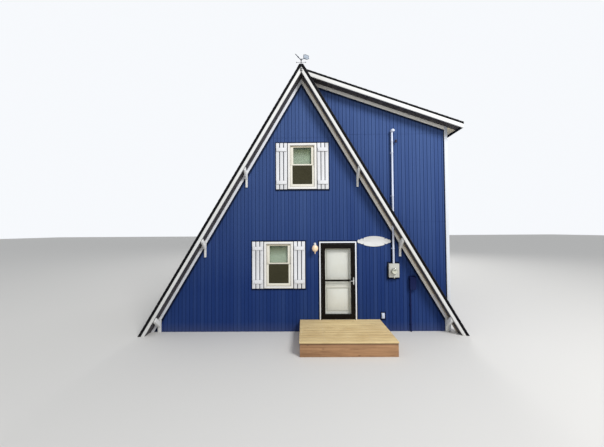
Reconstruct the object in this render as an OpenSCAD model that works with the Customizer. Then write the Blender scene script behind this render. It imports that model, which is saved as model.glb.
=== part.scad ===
// A-frame cabin with a lean-to wing on its right side, a stoop and a storm door.
// Millimetres, +Z up. The front faces -Y. X is 0 under the ridge, and Z is 0 at the ground.

/* [A-frame] */
// Height above the ground at which the outsides of the steep roof would meet
ridge_h = 7325; // [6500:25:8200]
// How far below that point the peak ends level
peak_cut = 88; // [40:1:150]
// Half the width of the A at the ground, to the outside of its roof
half_span = 4349; // [3900:1:4800]
// Length of the house between the outer faces of its end walls
house_l = 8534; // [6000:1:12000]
// How far the roofs run out past the end walls
rake_o = 336; // [200:1:500]
// Thickness of the steep roof, square to its slope, roofing included
roof_t = 146; // [120:1:220]
// Thickness of the roofing layer
roofing_t = 16; // [8:1:30]
// Thickness of the outer walls
wall_t = 120; // [90:1:200]

/* [Wing] */
// Outer face of the wing's side wall, from the middle of the A
wing_x = 4027; // [3600:1:4150]
// Fall of the wing roof for each millimetre sideways
wing_pitch = 0.351; // [0.25:0.001:0.42]
// Upright thickness of the wing roof, roofing included
wing_t = 118; // [100:1:200]
// How far the wing's eave stands out past the side wall
eave_o = 289; // [150:1:310]

/* [Boards] */
// Thickness of the barge and fascia boards
barge_t = 38; // [19:1:50]
// Width of the dark metal edge above the barge boards
edge_w = 66; // [30:1:80]
// How far the dark metal edge stands proud of the barge boards
edge_proud = 6; // [2:1:12]
// Thickness of the trim on the walls
trim_t = 19; // [12:1:30]
// Width of the trim under the wing's soffit
trim_w = 92; // [60:1:120]
// Width of the trim along the steep soffits and up the corners
rake_trim_w = 68; // [50:1:100]
// Width of the barge boards with the metal edge above them, square to the slope
barge_w = 140; // [120:1:146]
// Width of the two upper knee braces on each side
brace_w = 56; // [40:1:90]
// Width of the knee braces that stand on the ground
foot_brace_w = 89; // [56:1:120]
// Distances of the knee braces from the middle of the A, the lowest first
brace_x = [3940, 2685, 1540];

/* [Floors] */
// Height of the ground floor and of the stoop
floor_z = 325; // [200:5:500]
// Height of the upper floor
upper_z = 3050; // [2900:10:3300]
// Thickness of each floor
floor_t = 250; // [150:10:300]

/* [Windows] */
// Width of a window frame
win_w = 800; // [600:10:1000]
// Height of a window frame
win_h = 1280; // [1000:10:1500]
// Middle of the lower front window
low_win_x = -658; // [-900:1:-600]
// Bottom of the lower windows
low_win_z = 1185; // [900:5:1300]
// Middle of the upper front window
up_win_x = 10; // [-200:1:200]
// Bottom of the upper windows
up_win_z = 3925; // [3800:5:4200]
// Width of a shutter
shutter_w = 308; // [250:1:360]
// Height of a shutter
shutter_h = 1290; // [1000:1:1500]

/* [Doors] */
// Middle of the doorway
door_x = 976; // [950:1:1100]
// Width of the storm door's fixed frame
door_w = 948; // [850:1:1000]
// Height of the top of the storm door's fixed frame
door_top = 2425; // [2300:1:2500]
// Clearance round each moving door
door_gap = 5; // [5:1:8]

/* [Stoop] */
// Width of the stoop
stoop_w = 2190; // [1500:10:2600]
// Left edge of the stoop
stoop_x = -74; // [-400:1:200]
// Depth of the stoop
stoop_d = 1510; // [900:10:2000]
// Number of boards across the stoop
stoop_boards = 10; // [6:1:14]

/* [Service] */
// Middle of the service mast
mast_x = 2490; // [2400:10:2600]
// Outer diameter of the service mast
mast_d = 54; // [40:1:80]
// Height of the top of the service mast
mast_top = 5480; // [5000:10:5600]

/* [Hidden] */

$fn = 48;

// Walls, floors and roofs
blue = [0.18, 0.26, 0.46];
white = [0.90, 0.90, 0.90];
charcoal = [0.20, 0.20, 0.21];
black = [0.07, 0.07, 0.07];
timber = [0.72, 0.60, 0.42];
silver = [0.72, 0.73, 0.74];

// Slope of the A as width for each millimetre of height, and height for each
// millimetre square to the slope
slope = half_span / ridge_h;
rake = sqrt(1 + slope * slope) / slope;

// Heights of the steep roof's lines at the middle, by depth below its outside
function apex_z(depth) = ridge_h - depth * rake;
// Distance of the steep roof's lines from the middle, by height and depth
function half_w(z, depth) = slope * (apex_z(depth) - z);
// Height of the steep roof's lines, by distance from the middle and depth
function rake_z(x, depth) = apex_z(depth) - x / slope;

// The wing roof's soffit starts where the steep roof's soffit ends, at the ridge
wing_h = apex_z(roof_t) + wing_t;
function wing_z(x, depth) = wing_h - wing_pitch * x - depth;
// Where a line of the wing roof meets a line of the steep roof, by both depths
function meet_x(depth, rake_depth = 0) =
    slope * (apex_z(rake_depth) - wing_h + depth) / (1 - slope * wing_pitch);

eave_x = wing_x + eave_o;
deck_y = rake_o - barge_t;
edge_y = rake_o + edge_proud;
fascia_top = 52;
fascia_h = 104;
gap = 2;
// Clearance of a piece that is seated on a slope
seat = 0.5;

// The peak ends level at this height, under the flat top of the ridge cap
peak_z = ridge_h - peak_cut;

// The origin is under the middle of the whole object's length
front_y = -(house_l + edge_y - stoop_d) / 2;

wall_half = half_w(0, roof_t);
door_l = door_x - door_w / 2;
door_r = door_x + door_w / 2;
jamb_t = 20;
jamb_in = 13;
hole_l = door_l + jamb_in;
hole_r = door_r - jamb_in;
hole_top = door_top - jamb_in;
casing_w = 36;

module place() translate([0, front_y, 0]) children();

// An outline in X and Z, run along Y between two places
module along_y(y0, y1)
    translate([0, y1, 0]) rotate([90, 0, 0]) linear_extrude(y1 - y0) children();

// An outline in Y and Z, run along X between two places
module along_x(x0, x1)
    translate([x0, 0, 0]) rotate([90, 0, 90]) linear_extrude(x1 - x0) children();

// A box between two corners
module block(a, b) translate(a) cube(b - a);

// The same thing at the front wall and, turned to face the other way, at the back wall
module at_back() translate([0, house_l, 0]) mirror([0, 1, 0]) children();

// A stripe of the steep roof's section on one side, between two depths
module rake_stripe(side, outer, inner, from_x = 0)
    polygon([
        [side * half_w(0, outer), 0],
        [side * half_w(0, inner), 0],
        [side * from_x, rake_z(from_x, inner)],
        [side * from_x, rake_z(from_x, outer)]
    ]);

// The same stripe, cut off level at the peak
module capped_stripe(side, outer, inner, from_x = 0) intersection() {
    rake_stripe(side, outer, inner, from_x);
    translate([-half_span, 0]) square([2 * half_span, peak_z]);
}

// A stripe of the wing roof's section between two distances and two depths
module wing_stripe(x0, x1, outer, inner)
    polygon([
        [x0, wing_z(x0, outer)], [x1, wing_z(x1, outer)],
        [x1, wing_z(x1, inner)], [x0, wing_z(x0, inner)]
    ]);

// The same, starting on the outside of the steep roof
module wing_stripe_from_rake(x1, outer, inner, off = 0)
    polygon([
        [meet_x(outer) + off, wing_z(meet_x(outer) + off, outer)],
        [x1, wing_z(x1, outer)], [x1, wing_z(x1, inner)],
        [meet_x(inner) + off, wing_z(meet_x(inner) + off, inner)]
    ]);

// Floors
module ground_floor() color(timber) place()
    along_y(wall_t, house_l - wall_t) polygon([
        [-half_w(floor_z - floor_t, roof_t), floor_z - floor_t],
        [-half_w(floor_z, roof_t), floor_z],
        [wing_x - wall_t, floor_z], [wing_x - wall_t, floor_z - floor_t]
    ]);

module upper_floor() color(timber) place()
    along_y(wall_t, house_l - wall_t) polygon([
        [-half_w(upper_z - floor_t, roof_t), upper_z - floor_t],
        [-half_w(upper_z, roof_t), upper_z],
        [wing_x - wall_t, upper_z], [wing_x - wall_t, upper_z - floor_t]
    ]);

// Windows: hole, frame, sashes, panes and screen, each drawn facing -Y with its
// wall's outer face at Y = 0 and its frame's lower middle at the origin
win_fin = 25;
win_lap = 40;
win_bar = 67;
pane_side = 150;
pane_low = [134, 660];
pane_high = [700, 1166];
sash_t = 30;
upper_sash_y = 8;
lower_sash_y = 42;
pane_t = 4;
screen_y = -6;
screen_t = 12;
screen_side = 125;
mesh_t = 3;
win_jamb_y = 85;
groove_in = 52;
groove_w = 7;
groove_d = 8;

// A box as wide and high as a window frame, less a margin all round
module win_block(margin, y0, y1)
    block([-win_w / 2 + margin, y0, margin], [win_w / 2 - margin, y1, win_h - margin]);

module win_hole() win_block(win_lap, -1, wall_t + 1);

// A fin lapped over the wall, a jamb through it, and a groove between the two in front
module win_frame() difference() {
    union() {
        win_block(0, -win_fin, 0);
        win_block(win_lap, -1, win_jamb_y);
    }
    win_block(win_bar, -win_fin - 1, win_jamb_y + 1);
    difference() {
        win_block(groove_in, -win_fin - 1, -win_fin + groove_d);
        win_block(groove_in + groove_w, -win_fin - 2, 0);
    }
}

// A sash or screen frame round one pane
module sash(y, t, side, low, high, pane_z) difference() {
    block([-win_w / 2 + win_bar, y, low], [win_w / 2 - win_bar, y + t, high]);
    block([-win_w / 2 + side, y - 1, pane_z[0]], [win_w / 2 - side, y + t + 1, pane_z[1]]);
}

module win_sashes() {
    sash(upper_sash_y, sash_t, pane_side, pane_low[1] + gap, win_h - win_bar, pane_high);
    sash(lower_sash_y, sash_t, pane_side, win_bar, pane_high[0] - gap, pane_low);
    sash(screen_y, screen_t, screen_side, win_bar, pane_low[1] - 1, pane_low);
}

module win_pane(sash_y, pane_z) block(
    [-win_w / 2 + pane_side, sash_y + (sash_t - pane_t) / 2, pane_z[0]],
    [win_w / 2 - pane_side, sash_y + (sash_t + pane_t) / 2, pane_z[1]]);

module win_panes() {
    win_pane(upper_sash_y, pane_high);
    win_pane(lower_sash_y, pane_low);
}

module win_screen() block(
    [-win_w / 2 + screen_side, screen_y + 4, pane_low[0]],
    [win_w / 2 - screen_side, screen_y + 4 + mesh_t, pane_low[1]]);

// Places of the windows: the front wall, the back wall that repeats it, and the
// wing's side wall
front_win = [[low_win_x, low_win_z], [up_win_x, up_win_z]];
back_win = [[0, low_win_z], [0, up_win_z]];
side_win_y = [house_l * 0.27, house_l * 0.73];
side_win_z = [low_win_z, 3720];

module at_front_windows() for (w = front_win) translate([w[0], 0, w[1]]) children();
module at_back_windows() at_back() for (w = back_win) translate([w[0], 0, w[1]]) children();
module at_side_windows() for (y = side_win_y, z = side_win_z)
    translate([wing_x, y, z]) rotate([0, 0, 90]) children();

// Walls
module front_wall_left() color(blue) place() difference() {
    along_y(0, wall_t) polygon([
        [-wall_half, 0], [-half_w(hole_top, roof_t), hole_top], [hole_l, hole_top], [hole_l, 0]
    ]);
    at_front_windows() win_hole();
}

module front_wall_right() color(blue) place()
    block([hole_r, 0, 0], [wing_x, wall_t, hole_top]);

module gable_outline() polygon([
    [-half_w(hole_top, roof_t), hole_top], [0, apex_z(roof_t)],
    [wing_x, wing_z(wing_x, wing_t)], [wing_x, hole_top]
]);

module front_gable() color(blue) place() difference() {
    along_y(0, wall_t) gable_outline();
    at_front_windows() win_hole();
}

module doorway_sill() color(blue) place()
    block([hole_l, 0, 0], [hole_r, wall_t, floor_z]);

module back_wall() color(blue) place() difference() {
    along_y(house_l - wall_t, house_l) polygon([
        [-wall_half, 0], [0, apex_z(roof_t)], [wing_x, wing_z(wing_x, wing_t)], [wing_x, 0]
    ]);
    at_back_windows() win_hole();
}

module side_wall() color(blue) place() difference() {
    along_y(wall_t, house_l - wall_t) polygon([
        [wing_x - wall_t, 0], [wing_x, 0],
        [wing_x, wing_z(wing_x, wing_t)], [wing_x - wall_t, wing_z(wing_x - wall_t, wing_t)]
    ]);
    at_side_windows() win_hole();
}

// Roofs
module left_roof() color(charcoal) place()
    along_y(-deck_y, house_l + deck_y) capped_stripe(-1, roofing_t, roof_t);

module left_roofing() color(charcoal) place()
    along_y(-deck_y, house_l + deck_y) capped_stripe(-1, 0, roofing_t);

// The wing roof rises to the ridge inside the house, and outside the end walls it
// starts on the steep roof's right side
module wing_roof() color(charcoal) place() {
    along_y(0, house_l) polygon([
        [0, wing_z(0, wing_t)], [0, peak_z], [half_w(peak_z, roofing_t), peak_z],
        [meet_x(roofing_t, roofing_t), wing_z(meet_x(roofing_t, roofing_t), roofing_t)],
        [eave_x - barge_t, wing_z(eave_x - barge_t, roofing_t)],
        [eave_x - barge_t, wing_z(eave_x - barge_t, wing_t)]
    ]);
    for (y = [[-deck_y, 0], [house_l, house_l + deck_y]])
        along_y(y[0], y[1]) wing_stripe_from_rake(eave_x - barge_t, roofing_t, wing_t, seat);
}

module wing_roofing() color(charcoal) place() {
    along_y(0, house_l) polygon([
        [half_w(peak_z, roofing_t), peak_z], [half_w(peak_z, 0), peak_z],
        [meet_x(0), wing_z(meet_x(0), 0)], [eave_x - barge_t, wing_z(eave_x - barge_t, 0)],
        [eave_x - barge_t, wing_z(eave_x - barge_t, roofing_t)],
        [meet_x(roofing_t, roofing_t), wing_z(meet_x(roofing_t, roofing_t), roofing_t)]
    ]);
    for (y = [[-deck_y, 0], [house_l, house_l + deck_y]])
        along_y(y[0], y[1]) wing_stripe_from_rake(eave_x - barge_t, 0, roofing_t, seat);
}

// A cap with a level top over the ridge, from the left side down to the wing roof
cap_w = 200;
cap_t = 10;
module ridge_cap() color(charcoal) place()
    along_y(-deck_y, house_l + deck_y) polygon([
        [-half_w(peak_z + seat, -seat), peak_z + seat],
        [-slope * cap_w, rake_z(slope * cap_w, -seat)],
        [-slope * cap_w, rake_z(slope * cap_w, -cap_t)],
        [-half_w(peak_z + cap_t, -cap_t), peak_z + cap_t],
        [half_w(peak_z + cap_t, -cap_t), peak_z + cap_t],
        [meet_x(-seat, -cap_t), wing_z(meet_x(-seat, -cap_t), -seat)],
        [meet_x(-seat, -seat), wing_z(meet_x(-seat, -seat), -seat)],
        [half_w(peak_z + seat, -seat), peak_z + seat]
    ]);

// The right side of the steep roof, which shows only where it runs out past the end
// walls, with a hole for the service mast at the front
mast_y = -65;
mast_hole = 66;
module mast_cut() translate([mast_x, mast_y, 0]) cylinder(d = mast_hole, h = ridge_h);

module rake_ends(outer, inner) {
    difference() {
        along_y(-deck_y, 0) capped_stripe(1, outer, inner);
        mast_cut();
    }
    at_back() along_y(-deck_y, 0) capped_stripe(1, outer, inner);
}

module right_rakes() color(charcoal) place() rake_ends(roofing_t, roof_t);
module right_rake_roofing() color(charcoal) place() rake_ends(0, roofing_t);

// Barge boards on the A, with a plumb joint at the peak, and the metal edge above them
module barge_pair() for (side = [-1, 1])
    along_y(-rake_o, -deck_y)
        rake_stripe(side, edge_w, barge_w, gap / 2);

module barge_boards() color(white) place() {
    barge_pair();
    at_back() barge_pair();
}

module edge_pair() for (side = [-1, 1])
    along_y(-edge_y, -deck_y) capped_stripe(side, 0, edge_w, gap / 2);

// Fascia boards of the wing, a little behind the barge boards: one up each rake and
// one along the eave
fascia_in = 8;
module wing_rake_fascia()
    along_y(-rake_o + fascia_in, -deck_y)
        wing_stripe_from_rake(eave_x, fascia_top + seat, fascia_top + fascia_h, gap);

module wing_fascia() color(white) place() {
    wing_rake_fascia();
    at_back() wing_rake_fascia();
    along_y(-deck_y + gap, house_l + deck_y - gap)
        wing_stripe(eave_x - barge_t, eave_x, fascia_top + seat, fascia_top + fascia_h);
}

module wing_rake_edge()
    along_y(-edge_y + fascia_in, -deck_y)
        wing_stripe_from_rake(eave_x + edge_proud, 0, fascia_top, gap);

// Dark metal edge along every rake and the eave
module roof_edges() color(black) place() {
    edge_pair();
    wing_rake_edge();
    at_back() {
        edge_pair();
        wing_rake_edge();
    }
    along_y(-deck_y + gap, house_l + deck_y - gap)
        wing_stripe(eave_x - barge_t, eave_x + edge_proud, 0, fascia_top);
}

// Trim on the end walls: along the steep soffits, under the wing's soffit, and up
// the corner
corner_x = wing_x - rake_trim_w;
module end_trim() {
    for (side = [-1, 1]) along_y(-trim_t, 0) intersection() {
        rake_stripe(side, roof_t, roof_t + rake_trim_w, gap / 2);
        translate([-half_span, 0]) square([half_span + corner_x - gap, ridge_h]);
    }
    along_y(-trim_t, 0) wing_stripe(
        meet_x(wing_t + trim_w) + gap, corner_x - gap, wing_t + seat, wing_t + trim_w);
    along_y(-trim_t, 0) difference() {
        polygon([
            [corner_x, 0], [wing_x + trim_t, 0],
            [wing_x + trim_t, wing_z(wing_x + trim_t, wing_t)],
            [corner_x, wing_z(corner_x, wing_t)]
        ]);
        rake_stripe(1, -gap, roof_t + gap);
    }
}

// Trim on the wing's side wall: a board up each corner and one under the eave
module side_trim() {
    for (y = [gap, house_l - rake_trim_w]) along_y(y, y + rake_trim_w - gap)
        polygon([
            [wing_x, 0], [wing_x + trim_t, 0],
            [wing_x + trim_t, wing_z(wing_x + trim_t, wing_t)],
            [wing_x, wing_z(wing_x, wing_t)]
        ]);
    along_y(rake_trim_w + gap, house_l - rake_trim_w - gap) polygon([
        [wing_x, wing_z(wing_x, wing_t + trim_w)],
        [wing_x + trim_t, wing_z(wing_x, wing_t + trim_w)],
        [wing_x + trim_t, wing_z(wing_x + trim_t, wing_t)], [wing_x, wing_z(wing_x, wing_t)]
    ]);
}

module wall_trim() color(white) place() {
    end_trim();
    at_back() end_trim();
    side_trim();
}

// Knee braces: a leg down the wall, notched over the trim, and an arm from the leg up to
// the barge board, both cut along the soffit. The lowest legs stand on the ground.
leg_t = 38;
leg_drop = 470;
arm_drop = 300;
arm_rise = 262;
arm_h = 140;
module knee_brace(side, x, wide) {
    soffit = rake_z(x, roof_t);
    foot = max(0, soffit - leg_drop);
    difference() {
        intersection() {
            along_x(side * x - wide / 2, side * x + wide / 2) union() {
                translate([-leg_t, foot]) square([leg_t, soffit - foot]);
                polygon([
                    [0, soffit - arm_drop], [0, soffit - arm_drop + arm_h],
                    [-deck_y, soffit - arm_drop + arm_h + arm_rise],
                    [-deck_y, soffit - arm_drop + arm_rise]
                ]);
            }
            along_y(-deck_y, 0) polygon([
                [0, 0], [side * half_w(0, roof_t), 0], [0, apex_z(roof_t)]
            ]);
        }
        along_y(-trim_t - seat, 1) {
            rake_stripe(side, 0, roof_t + rake_trim_w + gap);
            if (side > 0) translate([corner_x - gap, 0]) square([half_span, ridge_h]);
        }
    }
}

module brace_set() for (side = [-1, 1], i = [0:2])
    knee_brace(side, brace_x[i], i == 0 ? foot_brace_w : brace_w);
module knee_braces() color(white) place() {
    brace_set();
    at_back() brace_set();
}

// Windows
module front_window_frames() color(white) place() at_front_windows() win_frame();
module back_window_frames() color(white) place() at_back_windows() win_frame();
module side_window_frames() color(white) place() at_side_windows() win_frame();
module at_all_windows() {
    at_front_windows() children();
    at_back_windows() children();
    at_side_windows() children();
}

module window_sashes() color(white) place() at_all_windows() win_sashes();
module window_glass() color([0.6, 0.68, 0.64, 0.5]) place() at_all_windows() win_panes();
module window_screens() color(charcoal) place() at_all_windows() win_screen();

// Shutters: three upright boards on two battens
shutter_t = 19;
board_w = 88;
batten_h = 100;
batten_in = 136;
shutter_off = 21;
batten_side = 14;
module shutter() {
    pitch = (shutter_w - board_w) / 2;
    for (i = [0:2]) translate([i * pitch, -shutter_t, 0]) cube([board_w, shutter_t, shutter_h]);
    for (z = [batten_in, shutter_h - batten_in - batten_h])
        translate([batten_side, -2 * shutter_t, z])
            cube([shutter_w - 2 * batten_side, shutter_t + 1, batten_h]);
}

module shutter_pair() translate([0, 0, (win_h - shutter_h) / 2]) {
    translate([-win_w / 2 - shutter_off - shutter_w, 0, 0]) shutter();
    translate([win_w / 2 + shutter_off, 0, 0]) shutter();
}

module shutters() color(white) place() {
    at_front_windows() shutter_pair();
    at_back_windows() shutter_pair();
}

// Doorway: a frame of casing, jamb and stop, a threshold, and the storm door's fixed
// frame over the jamb
casing_t = 25;
jamb_front = 5;
stop_t = 12;
module portal(grow, top_grow, thick, y0, y1, z0) difference() {
    block([door_l - grow, y0, z0], [door_r + grow, y1, door_top + top_grow]);
    block([door_l - grow + thick, y0 - 1, z0 - 1],
          [door_r + grow - thick, y1 + 1, door_top + top_grow - thick]);
}

entry_t = 45;
entry_y = wall_t - entry_t;
stop_w = 20;
module door_frame() color(white) place() {
    portal(casing_w, casing_w, casing_w, -casing_t, 0, floor_z);
    portal(0, 0, jamb_in + 1, -jamb_front, 0, floor_z);
    portal(-jamb_in, -jamb_in, jamb_t, -jamb_front, wall_t, floor_z);
    portal(1 - jamb_in - jamb_t, 1 - jamb_in - jamb_t, stop_t + 1,
           entry_y - door_gap - stop_w, entry_y - door_gap, floor_z);
}

threshold_t = 10;
module door_threshold() color(silver) place()
    block([door_l + jamb_in + jamb_t, -casing_t, floor_z],
          [door_r - jamb_in - jamb_t, entry_y - door_gap - stop_w, floor_z + threshold_t]);

storm_bar = 28;
storm_t = 30;
storm_back = -6;
leaf_z = floor_z + threshold_t + 6;
module storm_door_frame() color(black) place()
    portal(0, 0, storm_bar, storm_back - storm_t + 1, -jamb_front, floor_z);

// The storm door's leaf: stiles, rails and a thin rail between two panes
leaf_l = door_l + storm_bar + door_gap;
leaf_r = door_r - storm_bar - door_gap;
leaf_top = door_top - storm_bar - door_gap;
stile = 88;
top_rail = 122;
mid_rail_z = [1372, 1417];
bottom_rail_z = 480;
storm_pane_z = [[bottom_rail_z, mid_rail_z[0]], [mid_rail_z[1], leaf_top - top_rail]];
storm_face = storm_back - storm_t;

// Hinge knuckles: those on the leaf stand between those on the frame
knuckle_d = 12;
knuckle_h = 40;
knuckle_leaf = 32;
knuckle_t = 4;
knuckle_y = storm_face - knuckle_d / 2;
knuckle_x = leaf_l - door_gap / 2;
hinge_z = [560, 1390, 2180];

module storm_door() color(black) place() {
    difference() {
        block([leaf_l, storm_face, leaf_z], [leaf_r, storm_back, leaf_top]);
        for (z = storm_pane_z)
            block([leaf_l + stile, storm_face - 1, z[0]], [leaf_r - stile, storm_back + 1, z[1]]);
        translate([lever_x, storm_face - 1, lever_z]) rotate([-90, 0, 0])
            cylinder(d = spindle_d + 1, h = storm_t / 2 + 6);
    }
    for (z = hinge_z) {
        translate([knuckle_x, knuckle_y, z - knuckle_h / 2]) cylinder(d = knuckle_d, h = knuckle_h);
        block([knuckle_x, storm_face - knuckle_t, z - knuckle_h / 2],
              [knuckle_x + knuckle_leaf, storm_face, z + knuckle_h / 2]);
    }
}

storm_glass_t = 5;
module storm_door_glass() color([0.78, 0.80, 0.78, 0.4]) place()
    for (z = storm_pane_z)
        block([leaf_l + stile, storm_back - storm_t / 2, z[0]],
              [leaf_r - stile, storm_back - storm_t / 2 + storm_glass_t, z[1]]);

// The storm door's handle: an upright plate with a lever on a spindle
lever_x = leaf_r - 18;
lever_z = 1380;
spindle_d = 14;
plate_t = 8;
plate_h = 200;
plate_w = 30;
module storm_door_handle() color(silver) place() difference() {
    translate([lever_x, storm_face, lever_z]) rotate([90, 0, 0])
        linear_extrude(plate_t) for (s = [-1, 1]) hull() {
            translate([0, s * (plate_h - plate_w) / 2]) circle(d = plate_w);
            square([plate_w, 10], center = true);
        }
    translate([lever_x, storm_face + 1, lever_z]) rotate([90, 0, 0])
        cylinder(d = spindle_d + 1, h = plate_t + 2);
}

lever_l = 95;
lever_t = 14;
lever_off = 14;
module storm_door_lever() color(silver) place() translate([lever_x, storm_face, lever_z]) {
    translate([0, storm_t / 2, 0]) rotate([90, 0, 0])
        cylinder(d = spindle_d, h = storm_t / 2 + plate_t + lever_off + lever_t);
    translate([0, -plate_t - lever_off, 0]) rotate([90, 0, 0]) linear_extrude(lever_t) hull() {
        circle(d = 24);
        translate([-lever_l, 0]) circle(d = 15);
    }
}

// The entry door behind it: a slab with two panels a side, each a sunk border round a
// raised field
panel_in = 110;
panel_t = 8;
panel_edge = 32;
field_drop = 3;
entry_l = door_l + jamb_in + jamb_t + door_gap;
entry_r = door_r - jamb_in - jamb_t - door_gap;
entry_top = hole_top - jamb_t - door_gap;
entry_panels = [[leaf_z + 180, 1180], [1330, entry_top - panel_in - 15]];
module entry_panel(z, side) {
    face = entry_y + side * entry_t;
    out = side == 0 ? -1 : 1;
    difference() {
        block([entry_l + panel_in, min(face + out, face - out * panel_t), z[0]],
              [entry_r - panel_in, max(face + out, face - out * panel_t), z[1]]);
        block([entry_l + panel_in + panel_edge,
               min(face - out * field_drop, face - out * (panel_t + 1)), z[0] + panel_edge],
              [entry_r - panel_in - panel_edge,
               max(face - out * field_drop, face - out * (panel_t + 1)), z[1] - panel_edge]);
    }
}

module entry_door() color(white) place() {
    difference() {
        block([entry_l, entry_y, leaf_z], [entry_r, entry_y + entry_t, entry_top]);
        for (z = entry_panels, side = [0, 1]) entry_panel(z, side);
    }
    for (z = hinge_z) {
        translate([entry_l - door_gap / 2, entry_y + entry_t + knuckle_d / 2, z - knuckle_h / 2])
            cylinder(d = knuckle_d, h = knuckle_h);
        block([entry_l - door_gap / 2, entry_y + entry_t, z - knuckle_h / 2],
              [entry_l - door_gap / 2 + knuckle_leaf, entry_y + entry_t + knuckle_t,
               z + knuckle_h / 2]);
    }
}

knob_z = 1260;
knob_in = 65;
module knob() rotate([90, 0, 0]) rotate_extrude() polygon([
    [0, 0], [32, 0], [32, 5], [13, 9], [12, 24], [24, 32], [27, 42], [22, 52], [0, 55]
]);
module entry_door_knobs() color(silver) place() translate([entry_r - knob_in, 0, knob_z]) {
    translate([0, entry_y, 0]) knob();
    translate([0, entry_y + entry_t, 0]) rotate([0, 0, 180]) knob();
}

// The stoop: boards across a frame of joists
board_t = 28;
board_gap = 5;
joist_t = 38;
stoop_joists = 5;
rim_in = 12;
module stoop_boards() color(timber) place() {
    pitch = (stoop_d + board_gap) / stoop_boards;
    for (i = [0:stoop_boards - 1])
        translate([stoop_x, -stoop_d + i * pitch, floor_z - board_t])
            cube([stoop_w, pitch - board_gap, board_t]);
}

// The rim's front board and the ledger on the wall, with the joists between them
module stoop_rim() color(timber) place() for (y = [-stoop_d + rim_in, -joist_t])
    translate([stoop_x + rim_in, y, 0]) cube([stoop_w - 2 * rim_in, joist_t, floor_z - board_t]);

module stoop_joists() color(timber) place() {
    bay = (stoop_w - 2 * rim_in - joist_t) / (stoop_joists - 1);
    for (i = [0:stoop_joists - 1])
        translate([stoop_x + rim_in + i * bay, -stoop_d + rim_in + joist_t, 0])
            cube([joist_t, stoop_d - rim_in - 2 * joist_t, floor_z - board_t]);
}

// The light left of the door: a round back plate, an arm, a cap with a finial and a glass
// globe with a small tip under it
light_x = 345;
light_z = 2285;
globe_r = 83;
globe_y = -135;
globe_t = 4;
globe_tall = 1.14;
cap_z = 85;
rose_z = cap_z + 34;
rose_r = 30;
rose_t = 20;
arm_d = 18;
tip_d = 38;
tip_h = 60;
module light_cap() translate([0, 0, cap_z]) rotate_extrude() polygon([
    [0, 0], [37, 0], [38, 6], [32, 14], [29, 23], [29, 45], [26, 54], [16, 62], [0, 65]
]);

module wall_light() color(white) place() translate([light_x, 0, light_z]) {
    translate([0, 0, rose_z]) rotate([90, 0, 0]) rotate_extrude() polygon([
        [0, 0], [rose_r, 0], [rose_r, 6], [rose_r - 6, 13], [arm_d / 2 + 1, rose_t], [0, rose_t]
    ]);
    translate([0, 0, rose_z]) rotate([90, 0, 0]) cylinder(d = arm_d, h = -globe_y - arm_d);
    translate([0, globe_y, 0]) light_cap();
}

// The globe's wall, open at the top where the cap closes it
module wall_light_globe() color([0.95, 0.85, 0.65]) place()
    translate([light_x, globe_y, light_z]) {
        rotate_extrude() intersection() {
            difference() {
                scale([1, globe_tall]) circle(r = globe_r);
                scale([1, globe_tall]) circle(r = globe_r - globe_t);
            }
            translate([0, -globe_r * globe_tall])
                square([globe_r, globe_r * globe_tall + cap_z - seat]);
        }
        translate([0, 0, globe_t - tip_h - globe_r * globe_tall])
            cylinder(d1 = tip_d / 3, d2 = tip_d, h = tip_h);
    }

// The bare plaque right of the door: an oval between stepped round ends, with a raised rim
plaque_x = 1978;
plaque_z = 2461;
plaque_t = 20;
plaque_rim = 14;
plaque_sunk = 5;
plaque_arc = 890;
plaque_h = 288;
plaque_mid = 570;
lobe_x = 330;
lobe_d = 150;
end_x = 412;
end_d = 96;
bar_h = 84;
module plaque_outline(inset) {
    intersection() {
        translate([0, plaque_h / 2 - plaque_arc]) circle(r = plaque_arc - inset, $fn = 180);
        translate([0, plaque_arc - plaque_h / 2]) circle(r = plaque_arc - inset, $fn = 180);
        square([plaque_mid - 2 * inset, plaque_h], center = true);
    }
    for (s = [-1, 1]) {
        translate([s * lobe_x, 0]) circle(d = lobe_d - 2 * inset);
        translate([s * end_x, 0]) circle(d = end_d - 2 * inset);
    }
    square([2 * end_x - 2 * inset, bar_h - 2 * inset], center = true);
}

module name_plaque() color(white) place()
    translate([plaque_x, 0, plaque_z]) rotate([90, 0, 0]) difference() {
        linear_extrude(plaque_t) plaque_outline(0);
        translate([0, 0, plaque_t - plaque_sunk]) linear_extrude(plaque_t) plaque_outline(plaque_rim);
    }

// The electric meter's box below the mast: a body, a lid with a lip, a hub for the mast,
// a seal lug and the ring that holds the meter
meter_w = 277;
meter_h = 378;
meter_d = 110;
meter_z = 1485;
lid_t = 14;
lid_lip = 8;
lid_skirt = 12;
ring_d = 176;
ring_t = 26;
dial_off = [-10, 168];
hub_d = 84;
lug = [14, 22];
ring_floor = 6;
module meter_box() color([0.62, 0.63, 0.62]) place() translate([mast_x, 0, meter_z]) {
    block([-meter_w / 2 + lid_lip, -meter_d + lid_t, lid_lip],
          [meter_w / 2 - lid_lip, 0, meter_h - lid_lip]);
    block([-meter_w / 2, -meter_d, 0], [meter_w / 2, -meter_d + lid_t + lid_skirt, meter_h - lid_lip]);
    translate([0, mast_y, meter_h - lid_lip]) cylinder(d = hub_d, h = lid_lip);
    block([-lug[0], -meter_d - 6, -lug[1]], [lug[0], -meter_d + 2, lid_lip]);
    translate([dial_off[0], -meter_d, dial_off[1]]) rotate([90, 0, 0]) difference() {
        cylinder(d = ring_d, h = ring_t);
        translate([0, 0, ring_floor]) cylinder(d = dome_d + 2, h = ring_t);
    }
}

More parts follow.
